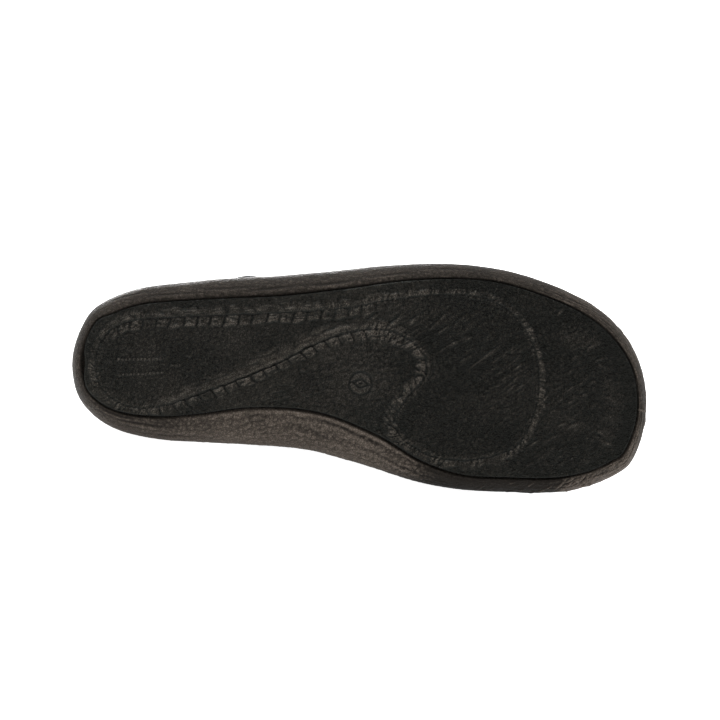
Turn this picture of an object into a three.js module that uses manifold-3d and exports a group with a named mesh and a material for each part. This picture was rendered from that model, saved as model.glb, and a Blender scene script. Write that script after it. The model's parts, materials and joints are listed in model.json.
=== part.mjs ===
// A mule slipper, the right shoe: a moulded bowl sole, a leather upper, a bound collar and a loose footbed.
// It is drawn as it stands: x runs from the back of the heel to the toe, y towards the inner side of the
// foot, z up from the ground. At the end it is laid on its inner side, where it comes to rest by itself.
import * as THREE from 'three';
import { mergeVertices } from 'three/addons/utils/BufferGeometryUtils.js';
import Module from 'manifold-3d';

const wasm = await Module();
wasm.setup();

// Driving sizes in millimetres.
const shoeLength = 288;
const ballWidth = 111.6;
const heelWidth = 77;
const instepHeight = 84;
const toeHeight = 47;
const toeSpring = 9;
const archLift = 3;
const rimHeight = 30;
const heelThickness = 16;
const ballThickness = 9;
const bowlWall = 4.5;
const rimLean = 4.5;
const rimLip = 2.4;
const rimRound = 0.8;
const waistFlare = 20;
const grooveWidth = 1.6;
const grooveDepth = 1.5;
const seamWidth = 6;
const seamHeight = 1;
const upperWall = 2.2;
const innerSwell = 4;
const outerSwell = 2.6;
const cornerFlare = 3;
const bindingWall = 1;
const bindingWidth = 7;
const footbedHeel = 6;
const footbedBall = 5;
const heelCup = 4;
const forefootCup = 1;
const archSupport = 4;
const gap = 0.3;
const bindingGap = 0.45;

// Densities in grams a cubic centimetre, for the way the empty slipper settles.
const soleDensity = 0.5;
const leatherDensity = 0.9;
const footbedDensity = 0.25;

// Outline of the bowl at its widest line, a row for each section. `at` is a share of the length, the reach
// to the outer and the inner side is a share of the width there, and a flare, from the edge of the tread out
// to the widest line, is a share of the waist's flare.
const outlineRows = [
  { at: 0.015, outer: 0.221, inner: 0.266, outerFlare: 0.32, innerFlare: 0.33 },
  { at: 0.05, outer: 0.357, inner: 0.403, outerFlare: 0.43, innerFlare: 0.40 },
  { at: 0.10, outer: 0.456, inner: 0.479, outerFlare: 0.45, innerFlare: 0.49 },
  { at: 0.17, outer: 0.534, inner: 0.496, outerFlare: 0.49, innerFlare: 0.60 },
  { at: 0.24, outer: 0.596, inner: 0.466, outerFlare: 0.53, innerFlare: 0.73 },
  { at: 0.33, outer: 0.610, inner: 0.389, outerFlare: 0.54, innerFlare: 0.95 },
  { at: 0.43, outer: 0.609, inner: 0.319, outerFlare: 0.52, innerFlare: 1.00 },
  { at: 0.53, outer: 0.618, inner: 0.313, outerFlare: 0.45, innerFlare: 0.85 },
  { at: 0.62, outer: 0.645, inner: 0.338, outerFlare: 0.41, innerFlare: 0.56 },
  { at: 0.70, outer: 0.657, inner: 0.343, outerFlare: 0.37, innerFlare: 0.41 },
  { at: 0.78, outer: 0.636, inner: 0.319, outerFlare: 0.37, innerFlare: 0.39 },
  { at: 0.86, outer: 0.583, inner: 0.287, outerFlare: 0.35, innerFlare: 0.39 },
  { at: 0.92, outer: 0.502, inner: 0.235, outerFlare: 0.33, innerFlare: 0.39 },
  { at: 0.965, outer: 0.381, inner: 0.161, outerFlare: 0.28, innerFlare: 0.38 },
  { at: 0.99, outer: 0.248, inner: 0.083, outerFlare: 0.27, innerFlare: 0.34 },
];
const heelBack = { at: 0, inner: 0.032, flare: 0.30 };
const toeTip = { at: 1, inner: -0.080, flare: 0.28 };

// Points for each row of the outline, the turns in degrees at which the bowl's wall has a ring between the
// groove and the widest line, and the shares of the way from there up to the rim at which it has one. The
// rungs are the quads across the sole and across the footbed.
const pointsPerRow = 3;
const wallTurns = [24, 45, 66, 90];
const wallSteps = [0.35, 0.72];
const soleRungs = 4;
const footbedRungs = 8;

// Side view of the sole. `spring` and `arch` are shares of the toe spring and the arch lift, `rim` is the
// rim above the tread as a share of the rim height, `widest` is where the bowl is widest as a share of that
// height, and `heel` goes from the thickness under the heel, 1, to that under the ball, 0. The leans are how
// far the rim closes in over the widest line on each side, as shares of the rim's lean.
const sideRows = [
  { at: 0.00, spring: 0.14, arch: 0.0, rim: 1.00, widest: 0.49, heel: 1.00, outerLean: 0.6, innerLean: 0.6 },
  { at: 0.06, spring: 0.00, arch: 0.0, rim: 1.00, widest: 0.48, heel: 1.00, outerLean: 0.5, innerLean: 0.9 },
  { at: 0.26, spring: 0.00, arch: 0.0, rim: 0.98, widest: 0.48, heel: 0.95, outerLean: 0.4, innerLean: 0.9 },
  { at: 0.34, spring: 0.00, arch: 0.5, rim: 0.95, widest: 0.50, heel: 0.84, outerLean: 0.4, innerLean: 0.5 },
  { at: 0.42, spring: 0.00, arch: 1.0, rim: 0.92, widest: 0.52, heel: 0.68, outerLean: 0.4, innerLean: 0.4 },
  { at: 0.50, spring: 0.00, arch: 0.6, rim: 0.90, widest: 0.51, heel: 0.45, outerLean: 0.4, innerLean: 0.6 },
  { at: 0.58, spring: 0.00, arch: 0.0, rim: 0.88, widest: 0.49, heel: 0.22, outerLean: 0.4, innerLean: 0.9 },
  { at: 0.72, spring: 0.00, arch: 0.0, rim: 0.86, widest: 0.48, heel: 0.00, outerLean: 0.4, innerLean: 1.0 },
  { at: 0.80, spring: 0.11, arch: 0.0, rim: 0.85, widest: 0.48, heel: 0.00, outerLean: 0.4, innerLean: 0.8 },
  { at: 0.90, spring: 0.45, arch: 0.0, rim: 0.85, widest: 0.50, heel: 0.00, outerLean: 0.5, innerLean: 0.6 },
  { at: 1.00, spring: 1.00, arch: 0.0, rim: 0.86, widest: 0.54, heel: 0.00, outerLean: 0.5, innerLean: 0.5 },
];

// The raised seam round the heel and the ball, as shares of the length and of the width there.
const seamRows = [
  { at: 0.043, inner: 0.039 },
  { at: 0.054, inner: -0.123 },
  { at: 0.090, inner: -0.226 },
  { at: 0.190, inner: -0.319 },
  { at: 0.326, inner: -0.385 },
  { at: 0.462, inner: -0.416 },
  { at: 0.526, inner: -0.456 },
  { at: 0.620, inner: -0.507 },
  { at: 0.685, inner: -0.521 },
  { at: 0.731, inner: -0.484 },
  { at: 0.768, inner: -0.406 },
  { at: 0.799, inner: -0.260 },
  { at: 0.807, inner: -0.072 },
  { at: 0.785, inner: 0.108 },
  { at: 0.743, inner: 0.177 },
  { at: 0.691, inner: 0.218 },
  { at: 0.634, inner: 0.215 },
  { at: 0.582, inner: 0.152 },
  { at: 0.566, inner: 0.093 },
  { at: 0.582, inner: -0.026 },
  { at: 0.606, inner: -0.134 },
  { at: 0.597, inner: -0.224 },
  { at: 0.561, inner: -0.289 },
  { at: 0.501, inner: -0.329 },
  { at: 0.434, inner: -0.229 },
  { at: 0.328, inner: -0.050 },
  { at: 0.226, inner: 0.164 },
  { at: 0.163, inner: 0.286 },
  { at: 0.122, inner: 0.319 },
  { at: 0.075, inner: 0.271 },
  { at: 0.049, inner: 0.156 },
];
const seamSteps = 124;

// Its section, as shares of its width and of its height below the tread.
const seamSection = [
  { across: -0.5, down: -0.6 },
  { across: 0.5, down: -0.6 },
  { across: 0.3, down: 1.0 },
  { across: -0.3, down: 1.0 },
];

// The upper, from the collar's corner on the rim, 0, to the toe, 1. `height` goes from the toe height, 0, to
// the instep height, 1, along the ridge, `ridge` is the ridge's place as a share of the ball width,
// `fullness` is the exponent of the section, `swell` is how far it swells over the rim as a share of its
// side's swell, and `sweep` says how far a section runs forward as it climbs, as the collar does. The corner
// flares out over the first shares of the way along, `cornerReach`, and up, `cornerRise`.
const collarRow = 4;
const collarBend = 0.3;
const cornerReach = 0.1;
const cornerRise = 0.2;
const throatAt = 0.525;
const ridgeEndAt = 0.855;
const upperRows = [
  { at: 0.00, height: 1.00, ridge: -0.090, fullness: 2.7, swell: 1.00, sweep: 1.0 },
  { at: 0.25, height: 0.66, ridge: -0.097, fullness: 2.5, swell: 0.85, sweep: 0.7 },
  { at: 0.45, height: 0.40, ridge: -0.105, fullness: 2.3, swell: 0.60, sweep: 0.4 },
  { at: 0.65, height: 0.19, ridge: -0.113, fullness: 2.2, swell: 0.40, sweep: 0.1 },
  { at: 0.85, height: 0.05, ridge: -0.120, fullness: 2.3, swell: 0.15, sweep: 0.0 },
  { at: 1.00, height: 0.00, ridge: -0.125, fullness: 2.4, swell: 0.00, sweep: 0.0 },
];
const domeSteps = 11;
const domeSpacing = 1.6;
const swellSpacing = 0.8;

// A smooth curve through one column of a table.
function column(rows, name) {
  const places = rows.map((row) => row.at);
  const values = rows.map((row) => row[name]);
  const curve = new THREE.CubicInterpolant(places, values, 1);
  return (at) => curve.evaluate(THREE.MathUtils.clamp(at, 0, 1))[0];
}

const side = Object.fromEntries(
  Object.keys(sideRows[0]).slice(1).map((name) => [name, column(sideRows, name)]),
);

// Width of the outline, from the heel's to the ball's.
function widthAt(at) {
  return THREE.MathUtils.lerp(heelWidth, ballWidth, THREE.MathUtils.smoothstep(at, 0.2, 0.6));
}

// Height of the tread over the ground, of the rim, of the widest line and of the bowl's floor.
function treadHeight(x) {
  const at = x / shoeLength;
  return toeSpring * Math.max(side.spring(at), 0) + archLift * Math.max(side.arch(at), 0);
}

function rimAt(x) {
  return treadHeight(x) + rimHeight * side.rim(x / shoeLength);
}

function widestAt(x) {
  return treadHeight(x) + rimHeight * side.rim(x / shoeLength) * side.widest(x / shoeLength);
}

function floorAt(x) {
  return treadHeight(x) + THREE.MathUtils.lerp(ballThickness, heelThickness, side.heel(x / shoeLength));
}

// The outline as one closed curve, from the back of the heel along the outer side to the toe and back along
// the inner side. The third number of each point carries the flare.
function outlinePoint(at, inner, flare) {
  return new THREE.Vector3(at * shoeLength, inner * widthAt(at), flare * waistFlare);
}

const outline = new THREE.CatmullRomCurve3([
  outlinePoint(heelBack.at, heelBack.inner, heelBack.flare),
  ...outlineRows.map((row) => outlinePoint(row.at, -row.outer, row.outerFlare)),
  outlinePoint(toeTip.at, toeTip.inner, toeTip.flare),
  ...outlineRows.map((row) => outlinePoint(row.at, row.inner, row.innerFlare)).reverse(),
], true, 'catmullrom', 0.5);

const ringSize = outline.points.length * pointsPerRow;
const toeIndex = ringSize / 2;
const ringPlaces = Array.from({ length: ringSize }, (_, i) => outline.getPoint(i / ringSize));
const ringOutward = ringPlaces.map((_, i) => {
  const before = ringPlaces[(i + ringSize - 1) % ringSize];
  const after = ringPlaces[(i + 1) % ringSize];
  return new THREE.Vector3(after.y - before.y, before.x - after.x, 0).normalize();
});

// The ring of points that lies `inset` inside the outline. Both values are functions of a point's index.
function ring(inset, height) {
  return ringPlaces.map((place, i) => {
    const point = new THREE.Vector3(place.x, place.y, 0).addScaledVector(ringOutward[i], -inset(i));
    point.z = height(i, point.x);
    return point;
  });
}

// How far the rim closes in at a point of the outline, and how far its lip is from the outline inside.
function leanOf(i) {
  const at = ringPlaces[i].x / shoeLength;
  return rimLean * (i < toeIndex ? side.outerLean(at) : side.innerLean(at));
}

const mouthInset = (i) => leanOf(i) + rimLip;

// The inside wall of the bowl runs straight from its floor to its lip. A piece beside it follows that line.
function wallInset(i, z) {
  const { x } = ringPlaces[i];
  const bottom = floorAt(x);
  const share = (z - bottom) / (rimAt(x) - rimRound - bottom);
  return THREE.MathUtils.lerp(bowlWall, mouthInset(i), share);
}

// A skin gathers triangles that face outwards and turns them into a geometry.
class Skin {
  constructor() {
    this.corners = [];
  }

  triangle(a, b, c) {
    this.corners.push(...a, ...b, ...c);
  }

  quad(a, b, c, d) {
    this.triangle(a, b, c);
    this.triangle(a, c, d);
  }

  // Joins two rows of points; on a closed one the last point meets the first. Walls that face each other
  // across a gap split their quads along the same diagonal, one of them downwards.
  band(first, second, { closed = true, downwards = false } = {}) {
    const count = closed ? first.length : first.length - 1;
    for (let i = 0; i < count; i++) {
      const next = (i + 1) % first.length;
      const round = [first[i], first[next], second[next], second[i]];
      if (downwards) {
        round.push(round.shift());
      }
      this.quad(...round);
    }
  }

  // Fills a ring with rungs from the outer to the inner side. `height` gives z from x, the share across and
  // the rung's index.
  fill(edge, across, height, facesUp) {
    const rungs = [];
    for (let i = 0; i <= toeIndex; i++) {
      const from = edge[i];
      const to = edge[(ringSize - i) % ringSize];
      const rung = [from];
      for (let k = 1; k < across; k++) {
        const point = from.clone().lerp(to, k / across);
        point.z = height(point.x, k / across, i);
        rung.push(point);
      }
      rung.push(to);
      rungs.push(i === 0 || i === toeIndex ? Array(across + 1).fill(from) : rung);
    }
    for (let i = 0; i < toeIndex; i++) {
      for (let k = 0; k < across; k++) {
        const corners = [rungs[i][k], rungs[i + 1][k], rungs[i + 1][k + 1], rungs[i][k + 1]];
        const round = corners.filter((corner, c) => corner !== corners[(c + 1) % 4]);
        if (!facesUp) {
          round.reverse();
        }
        this.triangle(round[0], round[1], round[2]);
        if (round.length === 4) {
          this.triangle(round[0], round[2], round[3]);
        }
      }
    }
  }

  geometry() {
    const soup = new THREE.BufferGeometry();
    soup.setAttribute('position', new THREE.Float32BufferAttribute(this.corners, 3));
    return mergeVertices(soup);
  }
}

function toManifold(geometry) {
  const vertProperties = new Float32Array(geometry.attributes.position.array);
  const triVerts = new Uint32Array(geometry.index.array);
  return new wasm.Manifold(new wasm.Mesh({ numProp: 3, vertProperties, triVerts }));
}

function fromManifold(solid) {
  const mesh = solid.getMesh();
  const geometry = new THREE.BufferGeometry();
  geometry.setAttribute('position', new THREE.BufferAttribute(mesh.vertProperties, 3));
  geometry.setIndex(new THREE.BufferAttribute(mesh.triVerts, 1));
  return geometry;
}

// The bowl: tread, groove, flared wall, rim, inside wall and floor.
function makeBowl() {
  const half = grooveWidth / 2;
  const lip = grooveDepth / 2;
  const flareOf = (i) => ringPlaces[i].z;
  const treadEdge = ring((i) => flareOf(i) + half, (i, x) => treadHeight(x));
  const rings = [
    treadEdge,
    ring((i) => flareOf(i), (i, x) => treadHeight(x) + grooveDepth),
    ring((i) => flareOf(i) - half, (i, x) => treadHeight(x) + lip),
  ];
  for (const degrees of wallTurns) {
    const angle = THREE.MathUtils.degToRad(degrees);
    rings.push(ring(
      (i) => (flareOf(i) - half) * (1 - Math.sin(angle)),
      (i, x) => THREE.MathUtils.lerp(treadHeight(x) + lip, widestAt(x), 1 - Math.cos(angle)),
    ));
  }
  // The wall closes in towards the rim along a quarter of an ellipse too, cut off by the lip.
  for (const up of wallSteps) {
    rings.push(ring(
      (i) => leanOf(i) * up ** 2,
      (i, x) => THREE.MathUtils.lerp(widestAt(x), rimAt(x), up),
    ));
  }
  rings.push(
    ring(leanOf, (i, x) => rimAt(x) - rimRound),
    ring((i) => leanOf(i) + rimLip / 2, (i, x) => rimAt(x)),
    ring(mouthInset, (i, x) => rimAt(x) - rimRound),
    ring(() => bowlWall, (i, x) => floorAt(x)),
  );
  const skin = new Skin();
  for (let i = 1; i < rings.length; i++) {
    skin.band(rings[i - 1], rings[i], { downwards: i === rings.length - 1 });
  }
  skin.fill(treadEdge, soleRungs, treadHeight, false);
  skin.fill(rings.at(-1), soleRungs, floorAt, true);
  return skin.geometry();
}

// The raised band of the seam on the tread, a closed loop with a section that tapers downwards.
function makeSeam() {
  const path = new THREE.CatmullRomCurve3(
    seamRows.map((row) => new THREE.Vector3(row.at * shoeLength, row.inner * widthAt(row.at), 0)),
    true,
  );
  const lines = seamSection.map(() => []);
  for (let i = 0; i < seamSteps; i++) {
    const place = path.getPointAt(i / seamSteps);
    const along = path.getTangentAt(i / seamSteps);
    const sideways = new THREE.Vector3(along.y, -along.x, 0).normalize();
    seamSection.forEach((corner, k) => {
      const point = place.clone().addScaledVector(sideways, corner.across * seamWidth);
      point.z = treadHeight(point.x) - corner.down * seamHeight;
      lines[k].push(point);
    });
  }
  const skin = new Skin();
  lines.forEach((line, k) => skin.band(lines[(k + 1) % lines.length], line));
  return skin.geometry();
}

// The outer sheet of the upper: a grid with a column for each point of the outline between the collar's two
// corners, and rows from the skirt inside the bowl up to the ridge. Columns of the two sides that face each
// other share their ridge point.
const firstColumn = (collarRow + 1) * pointsPerRow;
const columnCount = ringSize - 2 * firstColumn + 1;
const rowCount = domeSteps + 2;
const upperSide = Object.fromEntries(
  Object.keys(upperRows[0]).slice(1).map((name) => [name, column(upperRows, name)]),
);

// The place on one side of a ring at x, between the collar's corner and the toe.
function reachAt(points, x, inner) {
  const indices = Array.from({ length: toeIndex - firstColumn + 1 }, (_, k) => firstColumn + k);
  const line = indices.map((i) => points[inner ? ringSize - i : i]);
  const next = Math.max(line.findIndex((point) => point.x >= x), 1);
  const from = line[next - 1];
  const to = line[next];
  return from.clone().lerp(to, (x - from.x) / (to.x - from.x));
}

function makeUpperSheet() {
  const foot = ring(() => bowlWall + gap, (i, x) => floorAt(x) + gap);
  const base = ring((i) => wallInset(i, rimAt(ringPlaces[i].x) + gap) + gap, (i, x) => rimAt(x) + gap);
  const collarX = ringPlaces[firstColumn].x;
  const grid = [];
  for (let c = 0; c < columnCount; c++) {
    const i = firstColumn + c;
    const inner = i > toeIndex;
    const share = (ringPlaces[i].x - collarX) / (shoeLength - collarX);
    const ridge = new THREE.Vector3(
      THREE.MathUtils.lerp(throatAt, ridgeEndAt, share) * shoeLength,
      upperSide.ridge(share) * ballWidth,
      THREE.MathUtils.lerp(toeHeight, instepHeight, upperSide.height(share)),
    );
    const power = 2 / upperSide.fullness(share);
    const sweep = upperSide.sweep(share);
    const corner = inner ? 0 : cornerFlare * Math.max(1 - share / cornerReach, 0);
    const line = [foot[i], base[i]];
    for (let r = 1; r <= domeSteps; r++) {
      const top = r === domeSteps;
      const turn = (r / domeSteps) ** domeSpacing;
      const up = top ? 1 : Math.sin(turn * Math.PI / 2) ** power;
      const over = top ? 1 : 1 - Math.cos(turn * Math.PI / 2) ** power;
      // Along the collar the climb is gentle at the rim and at the throat, and steeper between them.
      const ahead = up + collarBend * Math.sin(2 * Math.PI * up) / (2 * Math.PI);
      const advance = (ridge.x - base[i].x) * (ahead - over) * sweep;
      const start = reachAt(base, base[i].x + advance, inner);
      const point = new THREE.Vector3(
        THREE.MathUtils.lerp(base[i].x, ridge.x, over) + advance,
        THREE.MathUtils.lerp(THREE.MathUtils.lerp(base[i].y, start.y, sweep), ridge.y, over),
        THREE.MathUtils.lerp(base[i].z, ridge.z, up),
      );
      const sideSwell = upperSide.swell(share) * (inner ? innerSwell : outerSwell);
      const swell = sideSwell * Math.sin(Math.PI * up ** swellSpacing);
      const ear = corner * Math.sin(Math.PI * Math.min(up / cornerRise, 1));
      line.push(point.addScaledVector(ringOutward[i], top ? 0 : swell + ear));
    }
    grid.push(line);
  }
  return grid;
}

// The inner sheet lies one wall inside the outer one, along its normals.
function makeInnerSheet(grid) {
  const facing = grid.map((line) => line.map(() => new THREE.Vector3()));
  const sharedTop = (c) => Math.min(c, columnCount - 1 - c);
  const add = (corners) => {
    const points = corners.map(([c, r]) => grid[c][r]);
    const edge = points[1].clone().sub(points[0]);
    const normal = edge.cross(points[2].clone().sub(points[0]));
    corners.forEach(([c, r]) => facing[r === rowCount - 1 ? sharedTop(c) : c][r].add(normal));
  };
  for (let c = 0; c < columnCount - 1; c++) {
    for (let r = 0; r < rowCount - 1; r++) {
      add([[c, r], [c + 1, r], [c + 1, r + 1]]);
      add([[c, r], [c + 1, r + 1], [c, r + 1]]);
    }
  }
  return grid.map((line, c) => line.map((point, r) => {
    const top = r === rowCount - 1;
    const normal = r < 2 ? ringOutward[firstColumn + c] : facing[top ? sharedTop(c) : c][r].normalize();
    return point.clone().addScaledVector(normal, -upperWall);
  }));
}

function makeUpper(outer, inner) {
  const skin = new Skin();
  const bottom = (sheet) => sheet.map((line) => line[0]);
  for (let c = 1; c < columnCount; c++) {
    for (let r = 1; r < rowCount; r++) {
      skin.quad(outer[c - 1][r - 1], outer[c][r - 1], outer[c][r], outer[c - 1][r]);
      skin.quad(inner[c - 1][r - 1], inner[c - 1][r], inner[c][r], inner[c][r - 1]);
    }
  }
  skin.band(bottom(inner), bottom(outer), { closed: false });
  skin.band(outer[0], inner[0], { closed: false });
  skin.band(inner.at(-1), outer.at(-1), { closed: false });
  return skin.geometry();
}

// The binding is folded over the collar's edge, and its legs follow the two sheets of the upper.
function makeBinding(outer, inner) {
  const walk = (sheet, mirrored, r, distance) => {
    const lineOf = (c) => sheet[mirrored ? columnCount - 1 - c : c];
    let left = distance;
    let c = 0;
    while (left > lineOf(c)[r].distanceTo(lineOf(c + 1)[r])) {
      left -= lineOf(c)[r].distanceTo(lineOf(c + 1)[r]);
      c += 1;
    }
    const from = lineOf(c)[r];
    const to = lineOf(c + 1)[r];
    return from.clone().lerp(to, left / from.distanceTo(to));
  };
  const sections = [];
  const addSection = (mirrored, r) => {
    const edgeLine = outer[mirrored ? columnCount - 1 : 0];
    const innerLine = inner[mirrored ? columnCount - 1 : 0];
    const other = outer[mirrored ? 0 : columnCount - 1];
    const after = r + 1 < rowCount ? edgeLine[r + 1] : other[r - 1];
    const climb = after.clone().sub(edgeLine[r - 1]).normalize();
    const across = edgeLine[r].clone().sub(innerLine[r]).normalize();
    const away = climb.clone().cross(across).normalize();
    if (away.x > 0) {
      away.negate();
    }
    const place = (point, out, back) => {
      const moved = point.clone().addScaledVector(across, out);
      return moved.addScaledVector(away, back);
    };
    const thick = bindingGap + bindingWall;
    const round = bindingGap + bindingWall * Math.SQRT1_2;
    // Places along the two legs, square to the wall there.
    const leg = (share, out) => {
      const outside = walk(outer, mirrored, r, bindingWidth * share);
      const inside = walk(inner, mirrored, r, bindingWidth * share);
      const square = outside.clone().sub(inside).normalize();
      return [outside.addScaledVector(square, out), inside.addScaledVector(square, -out)];
    };
    const [outsideTip, insideTip] = leg(1, thick);
    const [outsideMiddle, insideMiddle] = leg(0.5, thick);
    const [outsideTipUnder, insideTipUnder] = leg(1, bindingGap);
    const [outsideMiddleUnder, insideMiddleUnder] = leg(0.5, bindingGap);
    sections.push([
      outsideTip,
      outsideMiddle,
      place(edgeLine[r], thick, 0),
      place(edgeLine[r], round, round),
      place(innerLine[r], -round, round),
      place(innerLine[r], -thick, 0),
      insideMiddle,
      insideTip,
      insideTipUnder,
      insideMiddleUnder,
      place(innerLine[r], -bindingGap, bindingGap),
      place(edgeLine[r], bindingGap, bindingGap),
      outsideMiddleUnder,
      outsideTipUnder,
    ]);
  };
  for (let r = 1; r < rowCount; r++) {
    addSection(false, r);
  }
  for (let r = rowCount - 2; r >= 1; r--) {
    addSection(true, r);
  }
  const skin = new Skin();
  for (let i = 1; i < sections.length; i++) {
    skin.band(sections[i], sections[i - 1]);
  }
  // The end of the strip, as quads between its outer and its inner line.
  const cap = (s, flipped) => {
    const quads = [
      [0, 1, 12, 13],
      [1, 2, 11, 12],
      [2, 3, 4, 11],
      [4, 5, 10, 11],
      [5, 6, 9, 10],
      [6, 7, 8, 9],
    ];
    for (const corners of quads) {
      const round = corners.map((corner) => s[corner]);
      skin.quad(...(flipped ? round.reverse() : round));
    }
  };
  cap(sections[0], false);
  cap(sections.at(-1), true);
  return skin.geometry();
}

// The footbed fills the bowl's floor: close to the wall behind the upper, inside the upper in front of it.
function makeFootbed() {
  const behindUpper = gap;
  const besideUpper = gap + upperWall + gap;
  const thickness = (x) => THREE.MathUtils.lerp(footbedBall, footbedHeel, side.heel(x / shoeLength));
  const topAt = (x, across) => {
    const at = x / shoeLength;
    const cup = THREE.MathUtils.lerp(forefootCup, heelCup, side.heel(at)) * (2 * across - 1) ** 2;
    const arch = archSupport * Math.max(side.arch(at), 0) * across ** 3;
    return floorAt(x) + gap + thickness(x) + cup + arch;
  };
  const acrossOf = (i) => Number(i > toeIndex);
  const insetOf = (i, z) => {
    const beside = Math.min(i, ringSize - i) < firstColumn - 1 ? behindUpper : besideUpper;
    return wallInset(i, z) + beside;
  };
  const underside = ring((i) => insetOf(i, floorAt(ringPlaces[i].x)), (i, x) => floorAt(x) + gap);
  const edge = ring(
    (i) => insetOf(i, topAt(ringPlaces[i].x, acrossOf(i))),
    (i, x) => topAt(x, acrossOf(i)),
  );
  const skin = new Skin();
  skin.fill(underside, soleRungs, (x) => floorAt(x) + gap, false);
  skin.band(underside, edge);
  skin.fill(edge, footbedRungs, topAt, true);
  return skin.geometry();
}

// Volume and centre of a closed geometry, from the tetrahedra between its triangles and the origin.
function massOf(geometry, density) {
  const { position } = geometry.attributes;
  const corner = (k) => new THREE.Vector3().fromBufferAttribute(position, geometry.index.getX(k));
  const centre = new THREE.Vector3();
  let volume = 0;
  for (let k = 0; k < geometry.index.count; k += 3) {
    const [a, b, c] = [corner(k), corner(k + 1), corner(k + 2)];
    const part = a.dot(b.clone().cross(c)) / 6;
    volume += part;
    centre.addScaledVector(a.add(b).add(c), part / 4);
  }
  return { mass: volume * density, moment: centre.multiplyScalar(density) };
}

// The turn that lays a body on the floor. It starts on the point that reaches furthest towards `start`, and
// tips over a point and then over edges, until its centre of mass is above the three points it rests on.
const mostTips = 60;

function settle(points, centre, start) {
  let down = start.clone();
  const furthest = () => points.reduce((best, p) => (p.dot(down) > best.dot(down) ? p : best));
  const tip = (pivot, towards) => {
    let least = Infinity;
    let met = null;
    for (const p of points) {
      const ahead = p.clone().sub(pivot).dot(towards);
      const below = Math.min(p.clone().sub(pivot).dot(down), 0);
      const angle = Math.atan2(-below, ahead);
      if (ahead > 1e-3 && angle < least) {
        least = angle;
        met = p;
      }
    }
    down = down.clone().multiplyScalar(Math.cos(least)).addScaledVector(towards, Math.sin(least));
    return met;
  };
  // The direction in the floor, square to an edge, in which `point` lies from it.
  const awayFrom = (edgeStart, edgeEnd, point) => {
    const towards = point.clone().sub(edgeStart);
    towards.addScaledVector(down, -towards.dot(down));
    if (edgeEnd) {
      const edge = edgeEnd.clone().sub(edgeStart).normalize();
      towards.addScaledVector(edge, -towards.dot(edge));
    }
    return towards.normalize();
  };
  const a = furthest();
  const b = tip(a, awayFrom(a, null, centre));
  const c = tip(a, awayFrom(a, b, centre));
  let feet = [a, b, c];
  for (let tips = 0; tips < mostTips; tips++) {
    const overEdge = feet.findIndex((foot, k) => {
      const next = feet[(k + 1) % 3];
      const inside = awayFrom(foot, next, feet[(k + 2) % 3]);
      return centre.clone().sub(foot).dot(inside) < 0;
    });
    if (overEdge < 0) {
      break;
    }
    const from = feet[overEdge];
    const to = feet[(overEdge + 1) % 3];
    feet = [from, to, tip(from, awayFrom(from, to, feet[(overEdge + 2) % 3]).negate())];
  }
  return down;
}

const bowl = toManifold(makeBowl()).add(toManifold(makeSeam()));
const outerSheet = makeUpperSheet();
const innerSheet = makeInnerSheet(outerSheet);
const pieces = [
  {
    name: 'outsole',
    geometry: fromManifold(bowl),
    density: soleDensity,
    finish: { color: 0x2b2826, roughness: 0.62, metalness: 0 },
  },
  {
    name: 'upper',
    geometry: makeUpper(outerSheet, innerSheet),
    density: leatherDensity,
    finish: { color: 0x2e2a28, roughness: 0.7, metalness: 0 },
  },
  {
    name: 'collar_binding',
    geometry: makeBinding(outerSheet, innerSheet),
    density: leatherDensity,
    finish: { color: 0x1f1c1b, roughness: 0.55, metalness: 0 },
  },
  {
    name: 'footbed',
    geometry: makeFootbed(),
    density: footbedDensity,
    finish: { color: 0x5a5149, roughness: 0.95, metalness: 0 },
  },
];

const cornersOf = ({ attributes: { position } }) => Array.from(
  { length: position.count },
  (_, i) => new THREE.Vector3().fromBufferAttribute(position, i),
);
const allCorners = pieces.flatMap((piece) => cornersOf(piece.geometry));
const masses = pieces.map((piece) => massOf(piece.geometry, piece.density));
const totalMass = masses.reduce((sum, { mass }) => sum + mass, 0);
const centreOfMass = masses
  .reduce((sum, { moment }) => sum.add(moment), new THREE.Vector3())
  .divideScalar(totalMass);

// It is laid on its inner side, the sole upright and the toe along +x, and the middle of its box on the
// floor is the origin.
const floorUp = settle(allCorners, centreOfMass, new THREE.Vector3(0, 1, 0)).negate();
const floorAhead = new THREE.Vector3(1, 0, 0);
floorAhead.addScaledVector(floorUp, -floorAhead.dot(floorUp)).normalize();
const floorLeft = floorUp.clone().cross(floorAhead);
const turn = new THREE.Matrix4().makeBasis(floorAhead, floorLeft, floorUp).transpose();
const laidCorners = allCorners.map((corner) => corner.clone().applyMatrix4(turn));
const laidBox = new THREE.Box3().setFromPoints(laidCorners);
const laidMiddle = laidBox.getCenter(new THREE.Vector3());

const slipper = new THREE.Group();
for (const { name, geometry, finish } of pieces) {
  const mesh = new THREE.Mesh(geometry, new THREE.MeshStandardMaterial(finish));
  mesh.name = name;
  slipper.add(mesh);
}
slipper.quaternion.setFromRotationMatrix(turn);
slipper.position.set(-laidMiddle.x, -laidMiddle.y, -laidBox.min.z);
slipper.updateMatrixWorld(true);

export default slipper;
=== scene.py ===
import itertools
import json
import math

import bmesh
import bpy
import numpy as np
from mathutils import Matrix, Vector


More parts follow.
